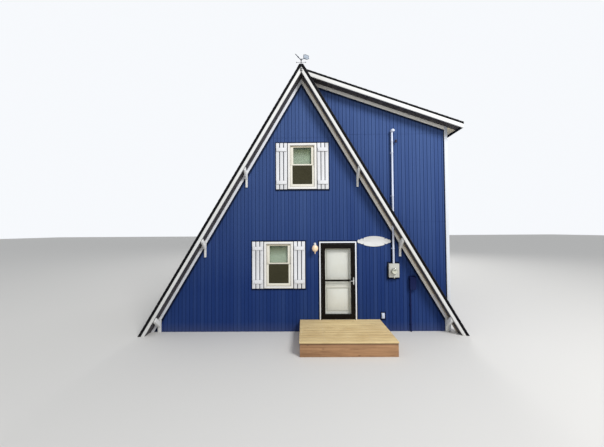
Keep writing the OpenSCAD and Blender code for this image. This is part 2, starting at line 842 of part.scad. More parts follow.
// The meter: a dome that stands out of the ring
dome_d = 152;
dome_l = 92;
dome_r = 24;
module electric_meter() color([0.85, 0.86, 0.84]) place()
    translate([mast_x + dial_off[0], -meter_d - ring_floor, meter_z + dial_off[1]]) rotate([90, 0, 0])
        rotate_extrude() union() {
            square([dome_d / 2, dome_l - dome_r]);
            square([dome_d / 2 - dome_r, dome_l]);
            translate([dome_d / 2 - dome_r, dome_l - dome_r]) intersection() {
                circle(r = dome_r);
                square(dome_r);
            }
        }

// The mast: a pipe from the box up through the steep roof's overhang, held to the wall
// by straps, with a spool insulator and, at the top, a hood that looks down to the right
strap_z = [2250, 3700, 4900];
strap_h = 28;
strap_t = 4;
strap_w = 110;
spool_z = -270;
spool_x = 112;
spool_h = 70;
spool_pin_d = 12;
module mast_strap(z) translate([0, 0, z]) {
    cylinder(d = mast_d + 2 * strap_t, h = strap_h);
    block([-strap_h / 2, 0, 0], [strap_h / 2, -mast_y - strap_t, strap_h]);
    block([-strap_w / 2, -mast_y - strap_t, 0], [strap_w / 2, -mast_y, strap_h]);
}

hood_turn = -32;
hood_at = [30, 0, 20];
neck_h = 44;
bushing_d = 22;
bushing_x = 34;
bushing_y = [-28, 0, 28];
module mast_hood() {
    cylinder(d = mast_d + 14, h = neck_h);
    translate(hood_at) rotate([0, hood_turn, 0]) {
        rotate_extrude() polygon([
            [0, -12], [56, -12], [61, -4], [61, 18], [56, 38], [42, 56], [22, 66], [0, 69]
        ]);
        for (y = bushing_y) translate([bushing_x, y, -24]) cylinder(d = bushing_d, h = 14);
    }
}

module spool_insulator() {
    cylinder(d = mast_d + 2 * strap_t, h = strap_h);
    translate([0, 0, strap_h / 2]) rotate([0, 90, 0]) cylinder(d = spool_pin_d, h = spool_x);
    translate([spool_x, 0, (strap_h - spool_h) / 2]) rotate_extrude() polygon([
        [0, 0], [26, 0], [28, 10], [28, 20], [17, 28], [17, 42], [28, 50], [28, 60],
        [26, spool_h], [0, spool_h]
    ]);
}

module service_mast() color(silver) place() translate([mast_x, mast_y, 0]) {
    translate([0, 0, meter_z + meter_h]) cylinder(d = mast_d, h = mast_top - meter_z - meter_h);
    for (z = strap_z) mast_strap(z);
    translate([0, 0, mast_top + spool_z]) spool_insulator();
    translate([0, 0, mast_top]) mast_hood();
}

// The wiring box at the right, with a lid that sheds rain and its pipe to the ground
wire_x = [2918, 3092];
wire_z = [1148, 1512];
wire_d = 100;
lid_slope = 36;
lid_over = 10;
pipe_x = 2950;
pipe_y = -40;
pipe_d = 33;
coupling_h = 30;
clip_z = [180, 700];
clip_w = 42;
clip_h = 22;
clip_t = 4;
module wiring_box() color(blue) place() {
    along_x(wire_x[0] + lid_over / 2, wire_x[1] - lid_over / 2) polygon([
        [0, wire_z[0]], [-wire_d, wire_z[0]],
        [-wire_d, wire_z[1] - lid_slope - lid_over], [0, wire_z[1] - lid_over]
    ]);
    along_x(wire_x[0], wire_x[1]) polygon([
        [0, wire_z[1] - lid_over], [-wire_d - lid_over, wire_z[1] - lid_slope - 2 * lid_over],
        [-wire_d - lid_over, wire_z[1] - lid_slope], [0, wire_z[1]]
    ]);
    translate([pipe_x, pipe_y, 0]) cylinder(d = pipe_d, h = wire_z[0] + 1);
    translate([pipe_x, pipe_y, wire_z[0] - coupling_h])
        cylinder(d = pipe_d + 14, h = coupling_h + 1);
    for (z = clip_z) {
        translate([pipe_x, pipe_y, z]) cylinder(d = pipe_d + 6, h = clip_h);
        block([pipe_x - clip_w, -clip_t, z], [pipe_x + clip_w, 0, z + clip_h]);
        block([pipe_x - pipe_d / 2, pipe_y, z], [pipe_x + pipe_d / 2, 0, z + clip_h]);
    }
}

// The outlet's cover right of the stoop's back edge: a plate with a hinged hood
outlet_x = [2158, 2244];
outlet_z = [352, 498];
outlet_t = 10;
outlet_d = 46;
hood_in = 8;
module outlet_cover() color([0.8, 0.81, 0.82]) place() {
    block([outlet_x[0], -outlet_t, outlet_z[0]], [outlet_x[1], 0, outlet_z[1]]);
    along_x(outlet_x[0] + hood_in, outlet_x[1] - hood_in) polygon([
        [1 - outlet_t, outlet_z[0] + hood_in], [-outlet_d, outlet_z[0] + hood_in],
        [-outlet_d, outlet_z[1] - 4 * hood_in], [-outlet_d / 2, outlet_z[1] - hood_in],
        [1 - outlet_t, outlet_z[1] - hood_in]
    ]);
}

// The weather vane: a post strapped to the front of the barge boards' peak, with four
// arms that end in balls, and an arrow with a tail that turns on the post
post_d = 16;
vane_y = -edge_y - gap - post_d / 2;
post_z = 7026;
post_strap_z = [7060, 7104];
post_strap_w = 74;
post_strap_h = 16;
arm_z = 7280;
arm_l = 122;
arm_rod_d = 8;
arm_hub_d = 30;
ball_d = 24;
arrow_z = 7322;
hub_h = 30;
hub_rod_d = 28;
finial_z = arrow_z + hub_h + 22;
finial_d = 22;
collar_h = 10;
module vane_post() color(charcoal) place() translate([0, vane_y, 0]) {
    translate([0, 0, post_z]) cylinder(d = post_d, h = finial_z - post_z);
    for (z = post_strap_z) {
        translate([0, 0, z]) cylinder(d = post_d + 6, h = post_strap_h);
        block([-post_d / 2, 0, z], [post_d / 2, -rake_o - vane_y, z + post_strap_h]);
        block([-post_strap_w / 2, -rake_o - vane_y - strap_t, z],
              [post_strap_w / 2, -rake_o - vane_y, z + post_strap_h]);
    }
    translate([0, 0, arm_z]) sphere(d = arm_hub_d);
    for (a = [0:90:270]) rotate([0, 0, a]) translate([0, 0, arm_z]) {
        rotate([0, 90, 0]) cylinder(d = arm_rod_d, h = arm_l);
        translate([arm_l, 0, 0]) sphere(d = ball_d);
    }
    translate([0, 0, arrow_z - collar_h - 1]) cylinder(d = post_d + 8, h = collar_h);
    translate([0, 0, finial_z]) sphere(d = finial_d);
}

// The arrow, drawn along X: its head rises to -X, and its tail plate stands at +X
vane_turn = 30;
arrow_t = 9;
head_at = [-172, 112];
head_l = 120;
head_w = 34;
shaft_w = 16;
tail_at = [84, 84];
module bar(to, w) rotate(atan2(to[1], to[0])) translate([0, -w / 2]) square([norm(to), w]);
module arrow_outline() {
    bar(head_at, shaft_w);
    bar(tail_at, shaft_w);
    rotate(atan2(head_at[1], head_at[0])) translate([norm(head_at), 0])
        polygon([[12, 0], [-head_l, head_w / 2], [-head_l * 0.8, 0], [-head_l, -head_w / 2]]);
    translate(tail_at) polygon([
        [-6, -14], [-16, 54], [2, 112], [34, 98], [62, 128], [92, 108], [126, 122],
        [164, 100], [150, 62], [166, 30], [130, 8], [96, -12], [40, -18]
    ]);
}

module vane_arrow() color(silver) place() translate([0, vane_y, arrow_z]) rotate([0, 0, vane_turn])
    difference() {
        union() {
            cylinder(d = hub_rod_d, h = hub_h);
            translate([0, arrow_t / 2, hub_h / 2]) rotate([90, 0, 0])
                linear_extrude(arrow_t) arrow_outline();
        }
        translate([0, 0, -1]) cylinder(d = post_d + 1, h = finial_z - arrow_z);
    }

ground_floor();
upper_floor();
front_wall_left();
front_wall_right();
front_gable();
doorway_sill();
back_wall();
side_wall();
left_roof();
left_roofing();
wing_roof();
wing_roofing();
ridge_cap();
right_rakes();
right_rake_roofing();
barge_boards();
wing_fascia();
roof_edges();
wall_trim();
knee_braces();
front_window_frames();
back_window_frames();
side_window_frames();
window_sashes();
window_glass();
window_screens();
shutters();
door_frame();
door_threshold();
storm_door_frame();
storm_door();
storm_door_glass();
storm_door_handle();
storm_door_lever();
entry_door();
entry_door_knobs();
stoop_boards();
stoop_rim();
stoop_joists();
wall_light();
wall_light_globe();
name_plaque();
meter_box();
electric_meter();
service_mast();
wiring_box();
outlet_cover();
vane_post();
vane_arrow();
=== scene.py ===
import math

import bmesh
import bpy
from mathutils import Matrix, Vector


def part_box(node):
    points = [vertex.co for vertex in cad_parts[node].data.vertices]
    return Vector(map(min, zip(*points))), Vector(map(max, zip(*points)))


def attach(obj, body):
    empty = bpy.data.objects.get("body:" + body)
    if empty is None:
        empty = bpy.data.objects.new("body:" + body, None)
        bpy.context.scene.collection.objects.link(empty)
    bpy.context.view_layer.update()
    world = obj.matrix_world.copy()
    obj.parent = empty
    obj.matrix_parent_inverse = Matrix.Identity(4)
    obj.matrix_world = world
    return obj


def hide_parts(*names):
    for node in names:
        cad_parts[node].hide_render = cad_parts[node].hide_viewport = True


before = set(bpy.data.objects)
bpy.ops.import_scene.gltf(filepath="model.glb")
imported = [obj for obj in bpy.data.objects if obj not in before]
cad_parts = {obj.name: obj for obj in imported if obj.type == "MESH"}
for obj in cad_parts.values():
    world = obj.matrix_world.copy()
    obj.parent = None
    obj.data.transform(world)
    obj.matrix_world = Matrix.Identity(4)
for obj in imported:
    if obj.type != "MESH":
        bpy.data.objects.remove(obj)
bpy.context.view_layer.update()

# The looks of an A-frame cabin with a lean-to wing: grooved siding, shingled roofs,
# painted boards, windows, doors, a stoop and what is fixed to its front wall.
# Metres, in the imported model's own frame: +Z up, the front faces -Y.

HOUSE = "house"

# Planes and lines of the building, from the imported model
FRONT_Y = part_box("front_gable")[0].y
BACK_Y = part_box("back_wall")[1].y
SIDE_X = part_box("side_wall")[1].x
WALL_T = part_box("front_gable")[1].y - FRONT_Y
HALF_SPAN = -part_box("left_roofing")[0].x
EDGE_Y = (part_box("roof_edges")[0].y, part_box("roof_edges")[1].y)

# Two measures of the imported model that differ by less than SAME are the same, and a
# point closer than NEAR to a plane counts as lying on it
SAME = 0.001
NEAR = 0.01


def corners(node):
    return [vert.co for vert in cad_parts[node].data.vertices]


# The steep roof: its peak is cut level at PEAK_Z, and its outsides would meet at RIDGE_Z
PEAK_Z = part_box("left_roofing")[1].z
PEAK_X = max(-p.x for p in corners("left_roofing") if p.z > PEAK_Z - SAME)
RIDGE_Z = HALF_SPAN * PEAK_Z / (HALF_SPAN - PEAK_X)
STEEP = RIDGE_Z / HALF_SPAN

# The wing's roof: its top falls by WING_PITCH from WING_RIDGE_Z over the middle, leaves the
# steep roof at WING_TOP_X, and its shingles reach past the eave's board by EDGE_PROUD
ROOFING_T = 0.016
ROOFING_EAVE_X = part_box("wing_roofing")[1].x
WING_LOW_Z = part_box("wing_roofing")[0].z
SOFFIT_TOP = min(p.z for p in corners("wing_roof") if abs(p.x) < SAME)
WING_PITCH = (SOFFIT_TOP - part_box("wing_roof")[0].z) / ROOFING_EAVE_X
WING_RIDGE_Z = WING_LOW_Z + ROOFING_T + WING_PITCH * ROOFING_EAVE_X
WING_TOP_X = (RIDGE_Z - WING_RIDGE_Z) / (STEEP - WING_PITCH)
EAVE_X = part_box("wing_fascia")[1].x
EDGE_PROUD = 0.006

# The service mast: the left and right points of its lower end, and its hood's lower edge
MAST = [min(corners("service_mast"), key=lambda p: (round(p.z, 3), side * p.x))
        for side in (1, -1)]
MAST_X = (MAST[0].x + MAST[1].x) / 2
HOOD_H = 0.16
HOOD_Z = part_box("service_mast")[1].z - HOOD_H

# The front's trim: the boards along the two roofs lie above ROOF_TRIM_Z, and the board on
# the wing's corner lies right of CORNER_FROM_X
ROOF_TRIM_Z = 3
CORNER_FROM_X = 3
FRONT_TRIM = [p for p in corners("wall_trim") if p.y < FRONT_Y + NEAR]
CORNER_X = min(p.x for p in FRONT_TRIM if p.z < NEAR and p.x > CORNER_FROM_X)

# The lower edges of the trims along the steep roof and the wing's roof, over the middle
ROOF_TRIM = [p for p in FRONT_TRIM if p.z > ROOF_TRIM_Z]
RAKE_TRIM_Z = min(p.z + STEEP * abs(p.x) for p in ROOF_TRIM if p.x < 0)
FRIEZE_Z = min(p.z + WING_PITCH * p.x for p in ROOF_TRIM
               if p.x > WING_TOP_X and p.z + STEEP * p.x > RIDGE_Z + 10 * NEAR)

# How far the sashes' tops lie below their frames' tops
SASH_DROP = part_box("front_window_frames")[1].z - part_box("window_sashes")[1].z

# The entry door's face, in front of its sunk panels
DOOR_FACE_Y = min(p.y for p in corners("entry_door"))

# Siding: its grooves, whose bottom has GROOVE_BOTTOM of their mouth's width, the boards
# between grooves that make one sheet, and the joints between sheets
GROOVE_PITCH = 0.1016
GROOVE_W = 0.0095
GROOVE_D = 0.006
GROOVE_BOTTOM = 0.8
SIDE_GROOVES_Y = FRONT_Y + WALL_T + 0.02
BOARDS_PER_SHEET = 12
SEAM_H = 0.006
SEAM_D = 0.004

# Shingles: a tab's size, how far it runs under the next course and the share of its
# thickness that is left there
TAB_W = 0.305
TAB_GAP = 0.006
TAB_T = 0.007
TAB_LAP = 0.012
TAB_TIP = 0.12
EXPOSURE = 0.143

# Modelling: welding distance, and the angles in degrees under which faces are merged,
# edges stay sharp and shading runs on. FACING is the least cosine of a face that looks
# one way.
WELD = 0.00002
FLAT_ANGLE = 0.4
SHARP_ANGLE = 35
SMOOTH_ANGLE = 40
FACING = 0.9


# Modelling helpers

def activate(piece):
    """Selects one object alone and makes it the active one."""
    if bpy.context.object and bpy.context.object.mode != "OBJECT":
        bpy.ops.object.mode_set(mode="OBJECT")
    bpy.ops.object.select_all(action="DESELECT")
    piece.select_set(True)
    bpy.context.view_layer.objects.active = piece


def edit(piece):
    """Enters edit mode on a piece with nothing selected and gives its mesh."""
    activate(piece)
    bpy.ops.object.mode_set(mode="EDIT")
    bpy.ops.mesh.select_all(action="DESELECT")
    return bmesh.from_edit_mesh(piece.data)


def done():
    bpy.ops.object.mode_set(mode="OBJECT")


def pick_faces(piece, mesh, test):
    """Selects the faces for which test(face) holds."""
    bpy.ops.mesh.select_mode(type="FACE")
    bpy.ops.mesh.select_all(action="DESELECT")
    for face in mesh.faces:
        face.select_set(bool(test(face)))
    bmesh.update_edit_mesh(piece.data)


def pick_facing(piece, facing):
    """Enters edit mode with the faces selected that look one way."""
    mesh = edit(piece)
    pick_faces(piece, mesh, lambda face: face.normal.dot(Vector(facing)) > FACING)


def settle(piece):
    """Puts a piece's place into its mesh."""
    activate(piece)
    bpy.ops.object.transform_apply(location=True, rotation=True, scale=True)
    return piece


def start_block(name, low, high):
    """A new box between two corners, still to be shaped."""
    low, high = Vector(low), Vector(high)
    bpy.ops.object.select_all(action="DESELECT")
    bpy.ops.mesh.primitive_cube_add(size=1, location=(low + high) / 2, scale=high - low)
    bpy.context.object.name = name
    return settle(bpy.context.object)


def start_disc(name, centre, radius, depth, axis, sides):
    """A new cylinder along Y or Z, still to be shaped."""
    turn = (math.pi / 2, 0, 0) if axis == "Y" else (0, 0, 0)
    bpy.ops.object.select_all(action="DESELECT")
    bpy.ops.mesh.primitive_cylinder_add(
        vertices=sides, radius=radius, depth=depth, location=centre, rotation=turn)
    bpy.context.object.name = name
    return settle(bpy.context.object)


def duplicate(piece, step):
    """A copy of a piece, with its own mesh, moved by a step."""
    twin = piece.copy()
    twin.data = piece.data.copy()
    bpy.context.scene.collection.objects.link(twin)
    twin.location = step
    return settle(twin)


def tapered(piece, facing, scale, about):
    """Draws in the faces that look one way."""
    pick_facing(piece, facing)
    bpy.ops.transform.resize(value=scale, center_override=about)
    done()
    return piece


def sunk_front(piece, border, depth):
    """Sinks a piece's front face within a border."""
    pick_facing(piece, (0, -1, 0))
    bpy.ops.mesh.inset(thickness=border)
    bpy.ops.transform.translate(value=(0, depth, 0))
    done()
    return piece


def split_all(point, normal, cut=False):
    """In edit mode, splits every face along a plane. With cut, what lies beyond the plane
    goes and the cut is closed."""
    bpy.ops.mesh.select_all(action="SELECT")
    bpy.ops.mesh.bisect(plane_co=point, plane_no=normal, clear_outer=cut, use_fill=cut)


def with_modifier(piece, kind, **settings):
    """Adds a modifier, sets it and applies it."""
    activate(piece)
    bpy.ops.object.modifier_add(type=kind)
    modifier = piece.modifiers[-1]
    for name, value in settings.items():
        setattr(modifier, name, value)
    bpy.ops.object.modifier_apply(modifier=modifier.name)
    return piece


def row(piece, step, count):
    """Repeats a piece's mesh along a step."""
    return with_modifier(piece, "ARRAY", use_relative_offset=False, use_constant_offset=True,
                         constant_offset_displace=step, count=count)


def smoothed(piece):
    """Shades a piece smooth up to its sharp edges."""
    activate(piece)
    bpy.ops.object.shade_smooth_by_angle(angle=math.radians(SMOOTH_ANGLE))
    return piece


def rounded(piece, width, segments=2):
    """Bevels the sharp edges and shades the piece."""
    with_modifier(piece, "BEVEL", width=width, segments=segments, limit_method="ANGLE",
                  angle_limit=math.radians(SHARP_ANGLE), use_clamp_overlap=True)
    return smoothed(piece)


def copy_of(node, name):
    """A welded copy of a CAD node's mesh, with its flat faces whole."""
    piece = bpy.data.objects.new(name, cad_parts[node].data.copy())
    bpy.context.scene.collection.objects.link(piece)
    piece.data.materials.clear()
    activate(piece)
    bpy.ops.mesh.customdata_custom_splitnormals_clear()
    edit(piece)
    bpy.ops.mesh.select_all(action="SELECT")
    bpy.ops.mesh.remove_doubles(threshold=WELD)
    bpy.ops.mesh.dissolve_limited(angle_limit=math.radians(FLAT_ANGLE))
    done()
    bpy.ops.object.shade_flat()
    return piece


def joined(pieces, name):
    """One object from several."""
    activate(pieces[0])
    for piece in pieces:
        piece.select_set(True)
    bpy.ops.object.join()
    whole = bpy.context.object
    whole.name = name
    return whole


def solids_of(node):
    """The lowest and highest corner of each separate solid in a CAD node."""
    mesh = bmesh.new()
    mesh.from_mesh(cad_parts[node].data)
    bmesh.ops.remove_doubles(mesh, verts=mesh.verts, dist=WELD)
    seen, boxes = set(), []
    for start in mesh.verts:
        if start in seen:
            continue
        seen.add(start)
        queue, points = [start], []
        while queue:
            vert = queue.pop()
            points.append(vert.co.copy())
            for edge in vert.link_edges:
                other = edge.other_vert(vert)
                if other not in seen:
                    seen.add(other)
                    queue.append(other)
        low = Vector([min(p[i] for p in points) for i in range(3)])
        high = Vector([max(p[i] for p in points) for i in range(3)])
        boxes.append((low, high))
    mesh.free()
    return boxes


def finish(piece, material, body=HOUSE, stands_for=()):
    """Gives a piece its material, its body and the nodes it stands for."""
    if material is not None:
        piece.data.materials.clear()
        piece.data.materials.append(material)
    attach(piece, body)
    if stands_for:
        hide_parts(*stands_for)
    return piece


def outline(boxes):
    """The rectangle, in X and Z, around some boxes, let down a little for the painted shadow below
    them.
    """
    shadow_drop = 0.02
    return ((min(low.x for low, high in boxes), min(low.z for low, high in boxes) - shadow_drop),
            (max(high.x for low, high in boxes), max(high.z for low, high in boxes)))


def fittings(front):
    """What stands on the front or the back wall, as rectangles in X and Z. A window and
    the shutters at its height are one."""
    windows = solids_of("front_window_frames" if front else "back_window_frames")
    boards = [box for box in solids_of("shutters") if (box[0].y < 0) == front]
    groups = []
    for window in windows:
        beside = [board for board in boards if abs(board[0].z - window[0].z) < 10 * NEAR]
        groups.append(outline([window] + beside))
    if front:
        for node in ("door_frame", "meter_box", "outlet_cover"):
            groups.append(outline([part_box(node)]))
        groups.append(((MAST[0].x, MAST[0].z), (MAST[1].x, RIDGE_Z - STEEP * MAST[0].x)))
        groups.append(((CORNER_X, 0), (SIDE_X, RIDGE_Z)))
    return groups


FRONT_FITTINGS = fittings(True)
BACK_FITTINGS = fittings(False)
SASH_HEADS = [round(high.z, 3) - SASH_DROP for low, high in solids_of("front_window_frames")]


# Materials

def srgb(red, green, blue):
    """A display colour, from 0 to 255, as the linear colour that shaders take."""
    values = [v / 255 for v in (red, green, blue)]
    return tuple(v / 12.92 if v < 0.04045 else ((v + 0.055) / 1.055) ** 2.4 for v in values) + (1,)


class Wire:
    """A socket of a shader on which Python's operators add Math nodes."""

    def __init__(self, paint, socket):
        self.paint = paint
        self.socket = socket

    def math(self, operation, *others, clamp=False):
        values = dict(enumerate((self, *others)))
        return self.paint.node("Math", {"operation": operation, "use_clamp": clamp}, values)

    def __add__(self, other):
        return self.math("ADD", other)

    def __mul__(self, other):
        return self.math("MULTIPLY", other)

    def __sub__(self, other):
        return self.math("SUBTRACT", other)

    def __truediv__(self, other):
        return self.math("DIVIDE", other)

    def __rsub__(self, other):
        return self.paint.node("Math", {"operation": "SUBTRACT"}, {0: other, 1: self})

    def __gt__(self, other):
        return self.math("GREATER_THAN", other)

    def __lt__(self, other):
        return self.math("LESS_THAN", other)

    __radd__ = __add__
    __rmul__ = __mul__

    def clamp(self):
        return self.math("ADD", 0.0, clamp=True)


class Paint:
    """One material and its Principled shader."""

    def __init__(self, name, roughness=0.5, metallic=0.0, **settings):
        self.material = bpy.data.materials.new(name)
        self.material.use_nodes = True
        self.tree = self.material.node_tree
        self.shader = self.tree.nodes["Principled BSDF"]
        self.shader.inputs["Roughness"].default_value = roughness
        self.shader.inputs["Metallic"].default_value = metallic
        for socket, value in settings.items():
            self.shader.inputs[socket.replace("_", " ")].default_value = value

    def put(self, value, socket):
        if isinstance(value, Wire):
            self.tree.links.new(value.socket, socket)
        else:
            socket.default_value = value

    def node(self, kind, settings=None, sockets=None, out=0):
        made = self.tree.nodes.new("ShaderNode" + kind)
        for name, value in (settings or {}).items():
            setattr(made, name, value)
        for name, value in (sockets or {}).items():
            self.put(value, made.inputs[name])
        return Wire(self, made.outputs[out])

    def place(self):
        return self.node("TexCoord", out="Object")

    def parts(self, vector):
        """A vector's X, Y and Z."""
        split = self.node("SeparateXYZ", sockets={0: vector})
        return [Wire(self, output) for output in split.socket.node.outputs]

    def axes(self):
        """The place's X, Y and Z."""
        return self.parts(self.place())

    def facing(self):
        """The X, Y and Z of the way that the surface faces."""
        return self.parts(self.node("TexCoord", out="Normal"))

    def around(self, across, up, boxes, margin):
        """1 close around any of some rectangles on a wall, fading to 0 at the margin."""
        nearest = None
        for low, high in boxes:
            beyond = [(value - (a + b) / 2).math("ABSOLUTE") - (b - a) / 2
                      for value, a, b in ((across, low[0], high[0]), (up, low[1], high[1]))]
            near = self.range(beyond[0].math("MAXIMUM", beyond[1]), margin, 0.4 * margin)
            nearest = near if nearest is None else nearest.math("MAXIMUM", near)
        return nearest

    # The faces that board_paint and vinyl darken with painted shade
    def recess(self):
        """1 on faces that look along their wall and 0 on those that look out of it."""
        along_x, along_y = [part.math("ABSOLUTE") for part in self.facing()[:2]]
        on_side = self.axes()[0] > SIDE_X - 2 * WALL_T
        outward = on_side * along_x + (1 - on_side) * along_y
        return self.range(outward, 0.8, 0.4)

    def noise(self, scale, stretch=(1, 1, 1), detail=3.0, roughness=0.55):
        """Cloudy noise in the object's own space, from 0 to 1."""
        spread = self.node("Mapping", {}, {"Vector": self.place(), "Scale": stretch})
        return self.node("TexNoise", {}, {
            "Vector": spread, "Scale": scale, "Detail": detail, "Roughness": roughness})

    def random(self, value, dimensions="1D"):
        """A random number for each whole value."""
        name = "W" if dimensions == "1D" else "Vector"
        return self.node("TexWhiteNoise", {"noise_dimensions": dimensions}, {name: value})

    def vector(self, x, y, z):
        return self.node("CombineXYZ", {}, {0: x, 1: y, 2: z})

    def mix(self, share, first, second):
        """A mix of two colours. A Mix node's own are its inputs 6 and 7 and its output 2."""
        return self.node("Mix", {"data_type": "RGBA"}, {0: share, 6: first, 7: second}, out=2)

    def range(self, value, low, high):
        """0 at low and 1 at high, whichever is the greater."""
        return self.node("MapRange", {}, {0: value, 1: low, 2: high})

    def colour(self, value):
        self.put(value, self.shader.inputs["Base Color"])
        return self

    def rough(self, value):
        self.put(value, self.shader.inputs["Roughness"])
        return self

    def relief(self, height, depth, strength):
        bump = self.node("Bump", {}, {"Height": height, "Distance": depth, "Strength": strength})
        self.put(bump, self.shader.inputs["Normal"])
        return self


BLUE_LOW = srgb(31, 53, 106)
BLUE_HIGH = srgb(72, 95, 142)
# Painted shade in the siding's grooves
BLUE_SHADE = srgb(14, 26, 62)
# Painted shadow around what stands on the end walls and below their trims, and painted shade on
# the eave board's inner and lower faces
PAINTED_SHADOW = srgb(9, 14, 28)
# Beside the siding's grooves: partly chalk, partly painted highlight
BLUE_CHALK_AND_HIGHLIGHT = srgb(96, 116, 166)
DUST = srgb(116, 112, 112)
WHITE_PAINT = srgb(228, 228, 226)
WHITE_WORN = srgb(205, 202, 194)
WARM_WHITE = srgb(240, 237, 230)
CORNER_WHITE = srgb(213, 217, 223)
GRIME = srgb(120, 112, 100)
# Painted shade on faces that look along the wall, grey and brown
SIDE_SHADE_GREY = srgb(58, 56, 58)
SIDE_SHADE_BROWN = srgb(104, 88, 62)
HEAD_SHADE = srgb(176, 162, 124)
SUNK_SHADE = srgb(160, 158, 142)
KNOT_BROWN = srgb(96, 66, 42)
# Painted shadow on the stoop's rim under its boards
SHADOW_WOOD = srgb(74, 50, 30)

# Heights from which to which the siding grows paler, partly faded and partly painted light,
# and where the dust on its foot ends and is full
FADE_AND_LIGHT_Z = (1.2, 6.8)
SPLASH_Z = (0.34, 0.05)

# How far the painted shade beside a groove and the painted shadow around what stands on the wall
# reach
GROOVE_SHADE = 0.026
SHADOW_REACH = 0.045

# Below the trims along the two roofs: where the painted shadow ends, and where it is full
RAKE_SHADOW = (0.15, 0.08)
FRIEZE_SHADOW = (0.075, 0.035)


def siding_paint(name, across, start):
    """Blue paint on rough-sawn grooved plywood: painted shade in the grooves and a band beside
    them that is partly chalk and partly painted highlight, a little different from board to
    board, paler high up from fading and from painted light, and dusty by the ground. The end
    walls get painted shadow around what stands on them and below their trims."""
    paint = Paint(name, Specular_IOR_Level=0.04)
    x, y, z = paint.axes()
    boards = ((x if across == "X" else y) - start) / GROOVE_PITCH
    board = paint.random(boards.math("FLOOR"))
    sheet = paint.random((boards / BOARDS_PER_SHEET).math("FLOOR"))
    clouds = paint.noise(0.55, detail=4.0)
    streaks = paint.noise(7.0, (1, 1, 0.06), detail=5.0)
    # Paler higher up, partly from fading and partly from painted light
    high = paint.range(z, *FADE_AND_LIGHT_Z)
    fade_and_light = (0.75 * high + 0.16 * board + 0.08 * sheet
            + 0.22 * streaks + 0.22 * clouds - 0.28).clamp()
    body = paint.mix(fade_and_light, BLUE_LOW, BLUE_HIGH)
    middle = GROOVE_W / GROOVE_PITCH / 2
    from_groove = ((boards - middle + 0.5).math("FRACT") - 0.5).math("ABSOLUTE") * GROOVE_PITCH
    # A band beside each groove, partly chalk and partly painted highlight
    beside = paint.range((from_groove - GROOVE_SHADE).math("ABSOLUTE"), 0.018, 0.004)
    chalked_and_lit = paint.mix(beside * (0.02 + 0.24 * high) * (0.6 + streaks), body, BLUE_CHALK_AND_HIGHLIGHT)
    splash = paint.range(z + 0.16 * clouds, *SPLASH_Z)
    dusted = paint.mix(0.16 * splash, chalked_and_lit, DUST)
    # Painted shade in the grooves
    shade = (0.18 + 0.12 * high) * paint.range(from_groove, GROOVE_SHADE, 0.004)
    lined = paint.mix(shade, dusted, BLUE_SHADE)
    # Painted shadow around what stands on the end walls and below their trims
    if across == "X":
        front = y < 0
        shadow = (front * paint.around(x, z, FRONT_FITTINGS, SHADOW_REACH)
                + (1 - front) * paint.around(x, z, BACK_FITTINGS, SHADOW_REACH))
        below_rake = RAKE_TRIM_Z - z - STEEP * x.math("ABSOLUTE")
        below_frieze = FRIEZE_Z - z - WING_PITCH * x
        in_wing = z + STEEP * x > RIDGE_Z
        shadow = shadow.math("MAXIMUM", paint.range(below_rake, *RAKE_SHADOW) * (1 - in_wing))
        shadow = shadow.math("MAXIMUM", paint.range(below_frieze, *FRIEZE_SHADOW) * in_wing)
        lined = paint.mix(0.85 * shadow, lined, PAINTED_SHADOW)
    paint.colour(lined)
    grain = paint.noise(60.0, (4, 4, 0.12), detail=6.0, roughness=0.7)
    paint.rough(0.75 + 0.2 * streaks)
    return paint.relief(grain, 0.0035, 0.55).material


def brushed(paint, stretch):
    """The grain of brushed boards on a paint. Gives its cloudy patches and its wear."""
    grain = paint.noise(45.0, stretch, detail=5.0, roughness=0.65)
    patches = paint.noise(1.3, detail=5.0, roughness=0.6)
    paint.rough(0.55 + 0.2 * patches)
    paint.relief(grain, 0.002, 0.4)
    return patches, (0.45 * paint.range(patches, 0.42, 0.72) + 0.25 * (grain - 0.5)).clamp()


def board_paint(name, clean, worn, side_shade=0.0, warm=None):
    """Brushed paint on sawn boards: faint grain, worn and grimy in patches, and with painted
    shade on the faces that look along the wall. The wing's boards may have a warmer paint."""
    paint = Paint(name, Specular_IOR_Level=0.3)
    patches, wear = brushed(paint, (3, 3, 0.10))
    fine = paint.noise(18.0, detail=3.0)
    spots = paint.range(fine * patches, 0.36, 0.46)
    coat = paint.mix(0.22 * spots, paint.mix(wear, clean, worn), GRIME)
    if warm is not None:
        x, y, z = paint.axes()
        coat = paint.mix((x > 0) * (x < CORNER_X) * (z > 1), coat, warm)
        coat = paint.mix((x > CORNER_X) * (y < FRONT_Y + 0.1), coat, CORNER_WHITE)
    # Painted shade on the faces that look along the wall
    return paint.colour(paint.mix(side_shade * paint.recess(), coat, SIDE_SHADE_GREY)).material


# A little more than the thickness of the boards on the wing's eave and rakes
EAVE_BOARD = 0.06
RAKE_BOARD = 0.05


def fascia_paint(name):
    """White boards along the wing's rakes and eave, with painted shade on the eave board's inner
    and lower faces.
    """
    paint = Paint(name, Specular_IOR_Level=0.1)
    x, y = paint.axes()[:2]
    wear = brushed(paint, (0.3, 3, 3))[1]
    facing = paint.facing()
    # Faces that look down or inwards on the eave board get painted shade
    under = (facing[0] < -0.5).math("MAXIMUM", facing[2] < -0.5)
    eave = (x > EAVE_X - EAVE_BOARD) * (y > EDGE_Y[0] + RAKE_BOARD) * (y < EDGE_Y[1] - RAKE_BOARD)
    white = paint.mix(wear, WHITE_PAINT, WHITE_WORN)
    return paint.colour(paint.mix(under * eave, white, PAINTED_SHADOW)).material


